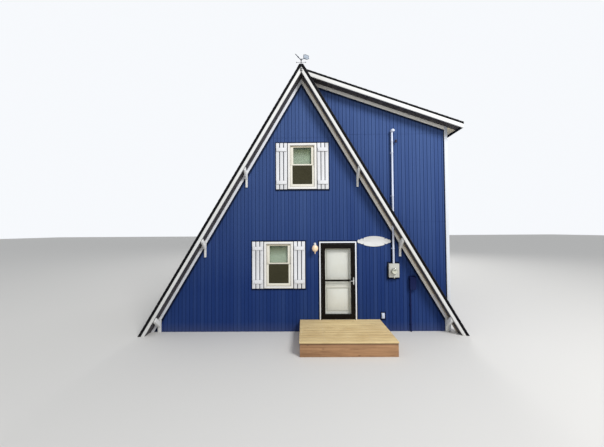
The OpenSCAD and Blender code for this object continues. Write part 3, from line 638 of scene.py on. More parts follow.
def bare_wood(name, pale, dark, along, across, board, start=0.0, under=None):
    """Weathered softwood with long grain along X or Y, knots and a tone of its own on each
    board, and painted shadow just under a height where something overhangs it."""
    paint = Paint(name)
    x, y, z = paint.axes()
    over = {"X": x, "Y": y, "Z": z}[across]
    tone = paint.random(((over - start) / board).math("FLOOR"))
    shift = 7.3 * tone
    ring_long, ring_cross, knot_long, knot_cross = 0.55, 9.0, 1.6, 4.0
    if along == "X":
        warped = paint.vector(x * ring_long + shift * 3, y * ring_cross + shift, z * ring_cross)
        drawn = paint.vector(x * knot_long + shift, y * knot_cross, z * knot_cross)
    else:
        warped = paint.vector(x * ring_cross + shift, y * ring_long + shift * 3, z * ring_cross)
        drawn = paint.vector(x * knot_cross, y * knot_long + shift, z * knot_cross)
    rings = paint.node("TexNoise", {}, {
        "Vector": warped, "Scale": 2.2, "Detail": 6.0, "Roughness": 0.62, "Distortion": 0.9})
    fibres = paint.node("TexNoise", {}, {
        "Vector": warped, "Scale": 14.0, "Detail": 4.0, "Roughness": 0.6})
    knots = paint.node("TexVoronoi", {"feature": "F1"}, {
        "Vector": drawn, "Scale": 1.7, "Randomness": 1.0})
    knot = paint.range(knots, 0.12, 0.04)
    mottle = paint.noise(2.6, detail=4.0)
    share = (paint.range(rings, 0.36, 0.66) * 0.55 + 0.30 * (fibres - 0.35)
             + 0.30 * (tone - 0.5) + 0.50 * (mottle - 0.5)).clamp()
    wood = paint.mix(share, pale, dark)
    wood = paint.mix(0.65 * knot, wood, KNOT_BROWN)
    # Painted shadow just under the overhanging height
    if under is not None:
        shadow = paint.range(z, under - 0.055, under - 0.02)
        wood = paint.mix(0.75 * shadow, wood, SHADOW_WOOD)
    paint.colour(wood)
    paint.rough(0.62 + 0.2 * rings)
    return paint.relief(fibres + 0.5 * rings, 0.002, 0.5).material


def shingle_grit(name, up_slope):
    """Charcoal granules, each tab with a tone of its own, paler where rain has worn them.
    up_slope(x, z) is how far up its roof a point lies."""
    paint = Paint(name, roughness=0.9)
    x, y, z = paint.axes()
    course = (up_slope(x, z) / EXPOSURE).math("FLOOR")
    half = course.math("MODULO", 2.0)
    tab = ((y - EDGE_Y[0]) / TAB_W + 0.5 * half).math("FLOOR")
    tone = paint.random(paint.vector(tab, course, 0.0), "3D")
    granules = paint.noise(420.0, detail=2.0, roughness=0.8)
    stains = paint.noise(0.7, (1, 1, 0.4), detail=5.0)
    share = (0.45 * tone + 0.55 * (granules - 0.3) + 0.35 * (stains - 0.4)).clamp()
    paint.colour(paint.mix(share, srgb(36, 36, 40), srgb(92, 92, 96)))
    return paint.relief(granules, 0.002, 0.8).material


def dark_metal(name, colour, roughness, gloss=0.2):
    """Enamelled metal, paler in patches, partly dust and partly painted sheen, and smoother where
    it has been rubbed.
    """
    paint = Paint(name, Specular_IOR_Level=gloss)
    patches = paint.noise(3.5, detail=5.0)
    fine = paint.noise(90.0, detail=2.0)
    pale = tuple(min(1.0, c * 1.6 + 0.012) for c in colour[:3]) + (1,)
    # Paler patches: dust and painted sheen
    paint.colour(paint.mix(0.25 * paint.range(patches, 0.4, 0.8), colour, pale))
    paint.rough((roughness - 0.08) + 0.2 * patches)
    return paint.relief(fine, 0.0004, 0.25).material


def vinyl(name, colour, shade, side_shade=0.0, shade_colour=SIDE_SHADE_GREY, heads=(), sunk=None):
    """Extruded vinyl: smooth and a little uneven, with painted shade on the faces that look
    along the wall, just below the given heads and beyond a depth in Y."""
    paint = Paint(name, Specular_IOR_Level=0.35)
    patches = paint.noise(2.2, detail=5.0)
    fine = paint.noise(120.0, (1, 1, 0.2), detail=2.0)
    clean = paint.mix(paint.range(patches, 0.45, 0.75) * 0.5, colour, shade)
    y, z = paint.axes()[1:]
    # Painted shade just below each head
    for head in heads:
        shaded = paint.range((z - head + 0.022).math("ABSOLUTE"), 0.03, 0.016)
        clean = paint.mix(0.6 * shaded, clean, HEAD_SHADE)
    # Painted shade on what lies deeper than the sunk depth
    if sunk is not None:
        clean = paint.mix(0.55 * paint.range(y, sunk - 2 * SAME, sunk), clean, SUNK_SHADE)
    # Painted shade on the faces that look along the wall
    paint.colour(paint.mix(side_shade * paint.recess(), clean, shade_colour))
    paint.rough(0.38 + 0.25 * patches)
    return paint.relief(fine, 0.0003, 0.2).material


def blind_vinyl(name):
    """Thin slats, in the head's shade at the top of the blind and paler further down."""
    paint = Paint(name, Specular_IOR_Level=0.3)
    z = paint.axes()[2]
    patches = paint.noise(3.0, detail=4.0)
    slats = paint.mix(patches, srgb(180, 196, 172), srgb(162, 178, 152))
    for head in SASH_HEADS:
        shaded = paint.range((z - head + 0.05).math("ABSOLUTE"), 0.28, 0.08)
        slats = paint.mix(0.9 * shaded, slats, srgb(92, 94, 54))
    paint.colour(slats)
    paint.rough(0.4 + 0.2 * patches)
    return paint.material


def worn_metal(name, colour, dark, roughness):
    """Bare metal with a faint spangle and dull patches."""
    paint = Paint(name, metallic=0.85)
    spangle = paint.node("TexVoronoi", {"feature": "F1"},
                         {"Vector": paint.place(), "Scale": 45.0}, out="Color")
    grey = paint.node("RGBToBW", {}, {0: spangle})
    dull = paint.noise(5.0, detail=5.0)
    paint.colour(paint.mix((0.35 * grey + 0.5 * (dull - 0.3)).clamp(), colour, dark))
    paint.rough(roughness + 0.25 * (dull - 0.5))
    return paint.relief(paint.noise(160.0, detail=2.0), 0.0004, 0.2).material


# What stands out beside the mast's pipe by more than this is a clip, or the spool
CLIP_OUT = 0.004
SPOOL_OUT = 0.02


def mast_zinc(name):
    """The mast's dull zinc, its clips painted over with the wall and its spool dark."""
    paint = Paint(name, metallic=0.1)
    x, z = paint.axes()[::2]
    dull = paint.noise(5.0, detail=5.0)
    zinc = paint.mix((0.35 * dull).clamp(), srgb(220, 226, 242), srgb(188, 196, 214))
    off_pipe = (x < MAST[0].x - CLIP_OUT).math("MAXIMUM", x > MAST[1].x + CLIP_OUT)
    beside = off_pipe * (z < HOOD_Z)
    spool = (x > MAST[1].x + SPOOL_OUT) * (z < HOOD_Z)
    clips = paint.mix(dull, BLUE_LOW, BLUE_HIGH)
    glazed = paint.mix(dull, srgb(26, 22, 36), srgb(58, 36, 44))
    paint.colour(paint.mix(spool, paint.mix(beside, zinc, clips), glazed))
    paint.rough(0.45 + 0.2 * dull)
    return paint.relief(paint.noise(160.0, detail=2.0), 0.0004, 0.2).material


def clear_glass(name, tint, alpha):
    """Glass, faintly tinted, with a film of dust."""
    paint = Paint(name, roughness=0.02, IOR=1.5, Specular_IOR_Level=0.5)
    film = paint.noise(1.8, detail=5.0)
    paint.colour(paint.mix(paint.range(film, 0.4, 0.8), tint, srgb(200, 206, 200)))
    paint.put(alpha + 0.06 * film, paint.shader.inputs["Alpha"])
    return paint.material


def insect_screen(name):
    """Dark woven screen that mostly hides what is behind it."""
    paint = Paint(name, roughness=0.9, Specular_IOR_Level=0.08)
    weave = paint.noise(500.0, detail=1.0)
    sag = paint.noise(1.6, detail=3.0)
    paint.colour(paint.mix((0.6 * sag + 0.4 * weave).clamp(), srgb(48, 46, 34), srgb(76, 73, 54)))
    paint.put(0.86 + 0.1 * weave, paint.shader.inputs["Alpha"])
    return paint.material


def inner_paint(name, colour):
    """Plain wall paint indoors."""
    paint = Paint(name, roughness=0.8)
    patches = paint.noise(1.1, detail=4.0)
    shade = tuple(c * 0.88 for c in colour[:3]) + (1,)
    paint.colour(paint.mix(patches, colour, shade))
    return paint.relief(paint.noise(70.0, detail=3.0), 0.0008, 0.25).material


# The roofs' boards: their width, a height that parts the steep roof's foot beyond the side
# wall from the wing's eave, and the width of the brown strip beside the front wall
SOFFIT_BOARD = 0.14
RAKE_FOOT_Z = 4.5
BY_WALL = 0.11


def roof_timber(name):
    """The roofs' boards: dark under the overhangs and brown beside the front wall, pale
    under the wing's eave and indoors."""
    paint = Paint(name, roughness=0.75)
    x, y, z = paint.axes()
    inside = (y > FRONT_Y) * (y < BACK_Y)
    indoors = inside * (x < SIDE_X - NEAR)
    eave = (x > SIDE_X) * (z > RAKE_FOOT_Z) * (y > FRONT_Y)
    by_wall = (x > 0.1) * (y > FRONT_Y - BY_WALL) * (y < 0) * (z + STEEP * x < RIDGE_Z)
    groove = (x / SOFFIT_BOARD).math("FRACT")
    tone = paint.random((x / SOFFIT_BOARD).math("FLOOR"))
    grain = paint.noise(30.0, (3, 0.15, 3), detail=5.0)
    line = (groove < 0.04) * 0.6
    dark = paint.mix((0.5 * grain + 0.4 * tone).clamp(), srgb(46, 43, 47), srgb(76, 71, 72))
    pale = paint.mix(grain, srgb(240, 230, 206), srgb(216, 206, 182))
    brown = paint.mix(grain, srgb(186, 172, 150), srgb(160, 146, 126))
    room = paint.mix(grain, srgb(206, 198, 184), srgb(188, 178, 160))
    shown = paint.mix(indoors, paint.mix(eave, paint.mix(by_wall, dark, brown), pale), room)
    paint.colour(paint.mix(line, shown, srgb(24, 22, 22)))
    return paint.relief(grain, 0.002, 0.4).material


def opal_glass(name):
    """Cream opal glass, mottled, with a faint warm painted glow."""
    paint = Paint(name, roughness=0.22, Coat_Weight=0.5, Emission_Strength=0.12)
    mottle = paint.noise(14.0, detail=3.0)
    paint.colour(paint.mix(mottle, srgb(246, 226, 196), srgb(236, 204, 166)))
    # Painted glow
    paint.put(srgb(250, 206, 150), paint.shader.inputs["Emission Color"])
    return paint.material


def up_steep(x, z):
    return z * (RIDGE_Z ** 2 + HALF_SPAN ** 2) ** 0.5 / RIDGE_Z


def up_wing(x, z):
    return (ROOFING_EAVE_X - x) * (1 + WING_PITCH ** 2) ** 0.5


SIDING_ACROSS_X = siding_paint("siding_blue_ends", "X", -HALF_SPAN)
SIDING_ACROSS_Y = siding_paint("siding_blue_side", "Y", SIDE_GROOVES_Y)
ROOM_WALL = inner_paint("room_wall", srgb(214, 208, 196))
FASCIA_PAINT = fascia_paint("fascia_paint")
TRIM_UP = board_paint("white_boards_upright", WHITE_PAINT, WHITE_WORN)
TRIM_LOW = board_paint("white_trim", srgb(230, 232, 238), srgb(212, 210, 210), warm=WARM_WHITE)
CASING_PAINT = board_paint("casing_paint", srgb(240, 243, 250), srgb(222, 224, 226), side_shade=0.4)
SHUTTER_PAINT = board_paint("shutter_paint", srgb(228, 229, 232), srgb(206, 204, 202), side_shade=0.85)
BLACK_EDGE = dark_metal("black_edge", srgb(14, 14, 17), 0.6, gloss=0.06)
BLACK_ENAMEL = dark_metal("black_enamel", srgb(16, 12, 9), 0.5, gloss=0.08)
SOFFIT = roof_timber("roof_timber")
WHITE_VINYL = vinyl("white_vinyl", srgb(236, 234, 230), srgb(220, 215, 204), 0.75, SIDE_SHADE_BROWN)
SASH_VINYL = vinyl("sash_vinyl", srgb(230, 226, 212), srgb(212, 206, 186), 0.75, SIDE_SHADE_BROWN,
                   heads=SASH_HEADS)
DOOR_ENAMEL = vinyl("door_enamel", srgb(234, 234, 227), srgb(218, 216, 205), 0.85,
                    heads=(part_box("storm_door_glass")[1].z,), sunk=DOOR_FACE_Y + 0.006)
WHITE_ENAMEL = vinyl("white_enamel", srgb(216, 216, 214), srgb(188, 186, 180))
METER_GREY = vinyl("meter_grey", srgb(190, 190, 182), srgb(166, 166, 158), side_shade=0.3)
PALE_PLASTIC = vinyl("pale_plastic", srgb(208, 217, 234), srgb(184, 192, 208), side_shade=0.3)
BOX_BLUE = dark_metal("box_blue", srgb(20, 30, 72), 0.6, gloss=0.1)
STEEP_GRIT = shingle_grit("steep_shingles", up_steep)
WING_GRIT = shingle_grit("wing_shingles", up_wing)
GLASS = clear_glass("window_glass", srgb(130, 160, 132), 0.07)
DOOR_GLASS = clear_glass("door_glass", srgb(200, 206, 196), 0.06)
SCREEN = insect_screen("insect_screen")
SATIN_STEEL = worn_metal("satin_steel", srgb(206, 206, 204), srgb(150, 150, 150), 0.34)
MAST_ZINC = mast_zinc("mast_zinc")
MILL_ALUMINIUM = worn_metal("mill_aluminium", srgb(186, 186, 184), srgb(130, 130, 130), 0.42)
DARK_IRON = dark_metal("dark_iron", srgb(44, 44, 50), 0.6)
VANE_DARK = dark_metal("vane_dark", srgb(20, 34, 52), 0.5, gloss=0.15)
VANE_PALE = dark_metal("vane_pale", srgb(150, 160, 172), 0.5, gloss=0.2)
OPAL = opal_glass("opal_glass")
STOOP_WOOD = bare_wood("stoop_wood", srgb(230, 206, 154), srgb(170, 134, 82), "X", "Y", 0.1515,
                       start=FRONT_Y)
RIM_WOOD = bare_wood("rim_wood", srgb(182, 138, 98), srgb(112, 78, 50), "X", "Z", 0.30,
                     under=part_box("stoop_rim")[1].z)
FLOOR_WOOD = bare_wood("floor_wood", srgb(190, 150, 104), srgb(140, 102, 66), "Y", "X", 0.12)
BLIND_VINYL = blind_vinyl("blind_vinyl")


# Siding

# How far a cutter stands out in front of the face that it cuts, and past its ends
CUT_CLEAR = 0.01
CUT_PAST = 0.1


def upright_cutters(first, last, face, out, across):
    """Long tapered bars that cut a wall's grooves, from first to last across it."""
    def on_wall(along, depth, up):
        return (along, depth, up) if across == "X" else (depth, along, up)

    deep = face - out * GROOVE_D
    near, far = sorted((deep, face + out * CUT_CLEAR))
    bar = start_block("groove_bars", on_wall(first, near, -CUT_PAST),
                      on_wall(first + GROOVE_W, far, RIDGE_Z + 2 * CUT_PAST))
    tapered(bar, on_wall(0, -out, 0), on_wall(GROOVE_BOTTOM, 1, 1),
            on_wall(first + GROOVE_W / 2, deep, 0))
    return row(bar, on_wall(GROOVE_PITCH, 0, 0), int((last - first) / GROOVE_PITCH) + 1)


def carved(piece, cutter):
    """Cuts the cutter's shape out of a piece and removes the cutter."""
    with_modifier(piece, "BOOLEAN", object=cutter, operation="DIFFERENCE", solver="EXACT")
    bpy.data.objects.remove(cutter)
    return piece


def siding(node, name, face, out, across, cutters):
    """A wall with its grooves cut, blue outside and wall paint inside."""
    wall = copy_of(node, name)
    for cutter in cutters:
        carved(wall, cutter)
    axis = 1 if across == "X" else 0
    wall.data.materials.append(SIDING_ACROSS_X if across == "X" else SIDING_ACROSS_Y)
    wall.data.materials.append(ROOM_WALL)
    inner = face - out * (WALL_T - 2 * SAME)
    for polygon in wall.data.polygons:
        centre = polygon.center[axis]
        inwards = polygon.normal[axis] * out < -FACING
        polygon.material_index = int((centre - inner) * out < 0 and inwards)
    return finish(wall, None, stands_for=(node,))


# Level joints between the gable's sheets of siding: from and to in X, and their height
SEAM_END = SIDE_X + CUT_CLEAR
SEAMS = ((-1.20, 1.12, 5.355), (1.0, SEAM_END, 5.44), (2.45, SEAM_END, 2.99))


def front_siding():
    for node, name in (("front_wall_left", "siding_front_left"),
                       ("front_wall_right", "siding_front_right"),
                       ("doorway_sill", "siding_under_door"),
                       ("front_gable", "siding_front_gable")):
        cutters = [upright_cutters(-HALF_SPAN, SIDE_X, FRONT_Y, -1, "X")]
        if node == "front_gable":
            for low, high, z in SEAMS:
                cutters.append(start_block("seam_bar", (low, FRONT_Y - CUT_CLEAR, z),
                                           (high, FRONT_Y + SEAM_D, z + SEAM_H)))
        siding(node, name, FRONT_Y, -1, "X", cutters)


def other_siding():
    siding("back_wall", "siding_back", BACK_Y, 1, "X",
           [upright_cutters(-HALF_SPAN, SIDE_X, BACK_Y, 1, "X")])
    siding("side_wall", "siding_side", SIDE_X, 1, "Y",
           [upright_cutters(SIDE_GROOVES_Y, BACK_Y - WALL_T, SIDE_X, 1, "Y")])


# Shingles

# How far the wing's shingles stay behind its rake boards. The ridge's caps: their length
# over the exposure, their thickness, and how far each one's covered end lies lower.
WING_INSET = 0.008
CAP_LENGTH = 1.05
CAP_T = 0.8 * TAB_T
CAP_SINK = 0.004


def tab():
    """One tab, thick at its lower edge and thin at its upper one. It lies flat with its
    course along Y and the slope up +X."""
    piece = start_block("tab", (0, TAB_GAP / 2, 0),
                        (EXPOSURE + TAB_LAP, TAB_W - TAB_GAP / 2, TAB_T))
    return tapered(piece, (1, 0, 0), (1, 1, TAB_TIP), (EXPOSURE, TAB_W / 2, 0))


def shingled(name, eave, top, y0, y1, material):
    """Courses of tabs from the eave line to the top line of a slope, both (x, z), with
    every second course set over by half a tab."""
    slope = math.hypot(top[0] - eave[0], top[1] - eave[1])
    along = math.atan2(top[1] - eave[1], top[0] - eave[0])
    courses = math.ceil(slope / EXPOSURE)
    tabs = math.ceil((y1 - y0) / TAB_W) + 1
    first = row(tab(), (0, TAB_W, 0), tabs)
    second = duplicate(first, (EXPOSURE, -TAB_W / 2, 0))
    field = row(joined([first, second], name), (2 * EXPOSURE, 0, 0), math.ceil(courses / 2))
    edit(field)
    for point, normal in (((0, y1 - y0, 0), (0, 1, 0)),
                          ((0, 0, 0), (0, -1, 0)),
                          ((slope, 0, 0), (1, 0, 0))):
        split_all(point, normal, cut=True)
    done()
    up = Vector((math.cos(along), 0, math.sin(along)))
    out = Vector((-up.z, 0, up.x)) if up.x > 0 else Vector((up.z, 0, -up.x))
    place = Matrix((
        (up.x, 0, out.x, eave[0]),
        (0, 1, 0, y0),
        (up.z, 0, out.z, eave[1]),
        (0, 0, 0, 1)))
    field.data.transform(place)
    if place.determinant() < 0:
        edit(field)
        bpy.ops.mesh.select_all(action="SELECT")
        bpy.ops.mesh.flip_normals()
        done()
    return finish(field, material)


def shingles():
    front, back = EDGE_Y
    eave_x = EAVE_X + EDGE_PROUD
    eave = (eave_x, WING_RIDGE_Z - WING_PITCH * eave_x)
    knee = (WING_TOP_X, WING_RIDGE_Z - WING_PITCH * WING_TOP_X)
    shingled("shingles_left", (-HALF_SPAN, 0), (-PEAK_X, PEAK_Z), front, back, STEEP_GRIT)
    shingled("shingles_wing", eave, knee, front + WING_INSET, back - WING_INSET, WING_GRIT)
    shingled("shingles_front_rake", (HALF_SPAN, 0), knee, front, FRONT_Y, STEEP_GRIT)
    shingled("shingles_back_rake", (HALF_SPAN, 0), knee, BACK_Y, back, STEEP_GRIT)


def ridge_shingles():
    """Folded caps over the level peak, each lapped over the next."""
    low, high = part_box("ridge_cap")
    front, back = EDGE_Y
    cap = start_block("ridge_shingles", (low.x, front, 0),
                      (high.x, front + EXPOSURE * CAP_LENGTH, CAP_T))
    edit(cap)
    for fold in (-PEAK_X, PEAK_X, WING_TOP_X):
        split_all((fold, 0, 0), (1, 0, 0))
    done()
    knee_z = high.z - STEEP * (WING_TOP_X - PEAK_X)
    for vert in cap.data.vertices:
        x, lift = vert.co.x, vert.co.z
        if x > WING_TOP_X + SAME:
            vert.co.z = knee_z - WING_PITCH * (x - WING_TOP_X) + lift
        else:
            vert.co.z = high.z - STEEP * max(0, abs(x) - PEAK_X) + lift
        if vert.co.y > front + NEAR:
            vert.co.z -= CAP_SINK
    row(cap, (0, EXPOSURE, 0), int((back - front) / EXPOSURE))
    finish(cap, STEEP_GRIT)


# Boards, frames and doors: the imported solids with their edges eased

EASED = (
    # node, new piece, material, slot, body, width of the eased edge
    ("barge_boards", "barge_boards_painted", TRIM_UP, "white_trim", HOUSE, 0.004),
    ("wing_fascia", "wing_fascia_painted", FASCIA_PAINT, "white_trim", HOUSE, 0.004),
    ("wall_trim", "wall_trim_painted", TRIM_LOW, "white_trim", HOUSE, 0.003),
    ("knee_braces", "knee_braces_painted", TRIM_UP, "white_trim", HOUSE, 0.005),
    ("roof_edges", "roof_edge_metal", BLACK_EDGE, "dark_edge", HOUSE, 0.003),
    ("front_window_frames", "front_frames_vinyl", WHITE_VINYL, "white_vinyl", HOUSE, 0.003),
    ("back_window_frames", "back_frames_vinyl", WHITE_VINYL, "white_vinyl", HOUSE, 0.003),
    ("side_window_frames", "side_frames_vinyl", WHITE_VINYL, "white_vinyl", HOUSE, 0.003),
    ("window_sashes", "sashes_vinyl", SASH_VINYL, "white_vinyl", HOUSE, 0.003),
    ("shutters", "shutters_painted", SHUTTER_PAINT, "shutter_paint", HOUSE, 0.006),
    ("door_frame", "door_casing", CASING_PAINT, "white_trim", HOUSE, 0.003),
    ("door_threshold", "threshold_metal", MILL_ALUMINIUM, "mill_aluminium", HOUSE, 0.003),
    ("storm_door_frame", "storm_frame_enamel", BLACK_ENAMEL, "black_enamel", HOUSE, 0.002),
    ("storm_door", "storm_leaf_enamel", BLACK_ENAMEL, "black_enamel", "storm_door_leaf", 0.002),
    ("storm_door_handle", "handle_plate", SATIN_STEEL, "satin_steel", "storm_door_leaf", 0.0015),
    ("storm_door_lever", "handle_lever", SATIN_STEEL, "satin_steel", "storm_lever", 0.003),
    ("entry_door", "entry_leaf_enamel", DOOR_ENAMEL, "white_enamel", "entry_door_leaf", 0.003),
    ("name_plaque", "plaque_painted", WHITE_ENAMEL, "plaque_white", HOUSE, 0.002),
    ("meter_box", "meter_box_enamel", METER_GREY, "meter_grey", HOUSE, 0.003),
    ("wiring_box", "wiring_box_painted", BOX_BLUE, "box_blue", HOUSE, 0.003),
    ("outlet_cover", "outlet_hood", PALE_PLASTIC, "white_enamel", HOUSE, 0.003),
    ("service_mast", "service_mast_zinc", MAST_ZINC, "galvanised", HOUSE, 0.0015),
    ("stoop_boards", "stoop_decking", STOOP_WOOD, "stoop_wood", HOUSE, 0.004),
    ("stoop_rim", "stoop_rim_boards", RIM_WOOD, "rim_wood", HOUSE, 0.004),
)

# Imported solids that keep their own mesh
PLAIN = (
    ("ground_floor", FLOOR_WOOD), ("upper_floor", FLOOR_WOOD),
    ("left_roof", SOFFIT), ("wing_roof", SOFFIT), ("right_rakes", SOFFIT),
    ("left_roofing", STEEP_GRIT), ("wing_roofing", WING_GRIT),
    ("right_rake_roofing", STEEP_GRIT), ("ridge_cap", STEEP_GRIT),
    ("window_glass", GLASS), ("window_screens", SCREEN),
    ("storm_door_glass", DOOR_GLASS), ("entry_door_knobs", SATIN_STEEL),
    ("stoop_joists", RIM_WOOD), ("wall_light", WHITE_ENAMEL), ("wall_light_globe", OPAL),
    ("vane_post", DARK_IRON),
)


def eased_boards():
    for node, name, material, slot, body, width in EASED:
        piece = rounded(copy_of(node, name), width)
        finish(piece, material, body, (node,))


def plain_nodes():
    for node, material in PLAIN:
        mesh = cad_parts[node].data
        mesh.materials.clear()
        mesh.materials.append(material)


# Blinds behind the upper panes

SLAT_W = 0.025
SLAT_T = 0.0008
SLAT_CROWN = 0.0035
SLAT_FOLDS = (-0.17, 0.17)
SLAT_TILT = 62
SLAT_PITCH = 0.0205
FIRST_SLAT = 0.03
HEAD_RAIL_W, HEAD_RAIL_H = 0.036, 0.03
FOOT_RAIL_W, FOOT_RAIL_H = 0.022, 0.016
RAIL_EASE = 0.003

# How far a blind reaches past its pane's sides, above it and below it, how far it hangs
# behind it, and how much lower it comes upstairs, which is above UPSTAIRS_Z
BLIND_PAST = 0.07
BLIND_RISE = 0.045
BLIND_FALL = 0.03
BLIND_BEHIND = 0.055
UPSTAIRS_Z = 3.5
UPSTAIRS_FALL = 0.065

# A pane that is thinner than this in X is in the side wall, and one closer than
# LOWER_PANE_IN to its wall's inner face is a screened lower one
PANE_THIN = 0.05
LOWER_PANE_IN = 0.08


def blind(name, low, high, out, drop):
    """A blind of tilted, crowned slats between a head rail and a foot rail, behind an
    upper pane. It is modelled over the origin, facing -Y, then turned and moved."""
    wide = (high.x - low.x) if abs(out.y) > 0.5 else (high.y - low.y)
    half = wide / 2 + BLIND_PAST
    top = high.z + BLIND_RISE
    bottom = low.z - BLIND_FALL - drop
    slat = start_block(name, (-half, -SLAT_W / 2, -SLAT_T / 2), (half, SLAT_W / 2, SLAT_T / 2))
    edit(slat)
    for share in SLAT_FOLDS:
        split_all((0, share * SLAT_W, 0), (0, 1, 0))
    done()
    for vert in slat.data.vertices:
        vert.co.z += SLAT_CROWN * (1 - (2 * vert.co.y / SLAT_W) ** 2)
    slat.rotation_euler = (math.radians(SLAT_TILT), 0, 0)
    slat.location = (0, 0, bottom + FIRST_SLAT)
    settle(slat)
    row(slat, (0, 0, SLAT_PITCH), int((top - HEAD_RAIL_H - bottom - FIRST_SLAT) / SLAT_PITCH))
    head = start_block("rail", (-half, -HEAD_RAIL_W / 2, top - HEAD_RAIL_H),
                       (half, HEAD_RAIL_W / 2, top))
    foot = start_block("rail", (-half, -FOOT_RAIL_W / 2, bottom),
                       (half, FOOT_RAIL_W / 2, bottom + FOOT_RAIL_H))
    whole = joined([slat, rounded(head, RAIL_EASE), rounded(foot, RAIL_EASE)], name)
    middle = (low + high) / 2
    whole.rotation_euler = (0, 0, math.atan2(out.x, -out.y))
    whole.location = (middle.x - out.x * BLIND_BEHIND, middle.y - out.y * BLIND_BEHIND, 0)
    settle(whole)
    smoothed(whole)
    return finish(whole, BLIND_VINYL)


def blinds():
    for low, high in solids_of("window_glass"):
        middle = (low + high) / 2
        if high.x - low.x < PANE_THIN:
            out, where = Vector((1, 0, 0)), "side"
            proud = middle.x - (SIDE_X - WALL_T)
        elif middle.y < 0:
            out, where = Vector((0, -1, 0)), "front"
            proud = (FRONT_Y + WALL_T) - middle.y
        else:
            out, where = Vector((0, 1, 0)), "back"
            proud = middle.y - (BACK_Y - WALL_T)
        if proud < LOWER_PANE_IN:
            continue
        x, y, z = round(middle.x * 100), round(middle.y * 100), round(middle.z * 10)
        name = f"blind_{where}_{x}_{y}_{z}".replace("-", "m")
        blind(name, low, high, out, UPSTAIRS_FALL if middle.z > UPSTAIRS_Z else 0.0)


# The stoop's screws, one near each edge of a board over each joist

SCREW_R = 0.0045
SCREW_H = 0.003
SCREW_INSET = 0.03
SCREW_SUNK = 0.0005
SCREW_EASE = 0.001
SCREW_SIDES = 8


def stoop_screws():
    first = start_disc("stoop_screws", (0, 0, 0), SCREW_R, SCREW_H, "Z", SCREW_SIDES)
    rounded(first, SCREW_EASE, segments=1)
    heads = []
    joists = solids_of("stoop_joists")
    for low, high in solids_of("stoop_boards"):
        for joist_low, joist_high in joists:
            x = (joist_low.x + joist_high.x) / 2
            for y in (low.y + SCREW_INSET, high.y - SCREW_INSET):
                heads.append(duplicate(first, (x, y, high.z - SCREW_SUNK)))
    bpy.data.objects.remove(first)
    finish(joined(heads, "stoop_screws"), SATIN_STEEL)


# The meter: a register and its dark band behind a glass dome. The register's radius is
# given over the dome's, and its middle lies before the meter's. The band is placed from
# the dome's front in Y and from its middle in Z.

REGISTER_SHARE = 0.84
REGISTER_T = 0.05
REGISTER_FORWARD = 0.004
REGISTER_RIM = 0.012
REGISTER_SUNK = 0.006
BAND_Y = (0.016, 0.034)
BAND_Z = (0.014, 0.034)
BAND_RIM = 0.004
BAND_SUNK = 0.003


def meter():
    low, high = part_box("electric_meter")
    centre = (low + high) / 2
    radius = (high.x - low.x) / 2
    dome = rounded(copy_of("electric_meter", "meter_dome"), 0.001)
    finish(dome, clear_glass("meter_glass", srgb(206, 212, 200), 0.22),
           stands_for=("electric_meter",))
    plate = start_disc("meter_register", (centre.x, centre.y - REGISTER_FORWARD, centre.z),
                       radius * REGISTER_SHARE, REGISTER_T, "Y", 48)
    rounded(sunk_front(plate, REGISTER_RIM, REGISTER_SUNK), 0.0015)
    finish(plate, vinyl("register_face", srgb(226, 224, 206), srgb(204, 200, 182)))
    band = start_block("meter_band",
                       (centre.x - radius / 2, low.y + BAND_Y[0], centre.z + BAND_Z[0]),
                       (centre.x + radius / 2, low.y + BAND_Y[1], centre.z + BAND_Z[1]))
    rounded(sunk_front(band, BAND_RIM, BAND_SUNK), 0.001)
    finish(band, dark_metal("register_dark", srgb(70, 68, 62), 0.4))


# A flashing where the mast comes through the steep overhang: a collar whose middle lies
# FLASHING_RISE above the roof and whose top has FLASHING_TOP of its foot's width. The
# mast's axis is MAST_OUT in front of the wall.

FLASHING_R = 0.05
FLASHING_H = 0.20
FLASHING_RISE = 0.05
FLASHING_TOP = 0.66
MAST_OUT = 0.065


def mast_flashing():
    x, y = MAST_X, FRONT_Y - MAST_OUT
    z = RIDGE_Z - STEEP * x
    collar = start_disc("mast_flashing", (x, y, z + FLASHING_RISE),
                        FLASHING_R, FLASHING_H, "Z", 32)
    tapered(collar, (0, 0, 1), (FLASHING_TOP, FLASHING_TOP, 1), (x, y, z))
    rounded(collar, 0.002)
    finish(collar, DARK_IRON)


# The vane's arrow: dark, with a pale field within a border on its widest upright faces

FIELD_BORDER = 0.009
FIELD_SHARE = 0.6


def vane_arrow():
    arrow = copy_of("vane_arrow", "vane_arrow_metal")
    mesh = edit(arrow)
    least = FIELD_SHARE * max(face.calc_area() for face in mesh.faces)
    pick_faces(arrow, mesh, lambda face: face.calc_area() > least and abs(face.normal.z) < 0.3)
    bpy.ops.mesh.inset(thickness=FIELD_BORDER)
    mesh = bmesh.from_edit_mesh(arrow.data)
    for face in mesh.faces:
        face.material_index = int(face.select)
    bmesh.update_edit_mesh(arrow.data)
    done()
    arrow.data.materials.append(VANE_DARK)
    arrow.data.materials.append(VANE_PALE)
    finish(arrow, None, "vane", ("vane_arrow",))


# The stage: a camera fitted to the building's own lines in the photo, a floor, an even
# sky and two lamps

CAMERA_PLACE = (0.0465, -11.138, 2.7815)
CAMERA_LENS = 16.03
CAMERA_SENSOR = 36
CAMERA_REACH = 300
CAMERA_YAW = -0.0071
CAMERA_PITCH = 0.0247
CAMERA_ROLL = -0.0061
FLOOR_SIZE = 240
FLOOR_Z = -0.002
SKY_LIGHT = 0.62
SKY_SHOWN = 1.0
LAMPS = (
    # name, place, what it points at, size, watts
    ("key", (9, -15, 14), (0, -3, 3), 6, 2450),
    ("back_fill", (6, 18, 14), (0, 3, 3), 9, 1800),
)


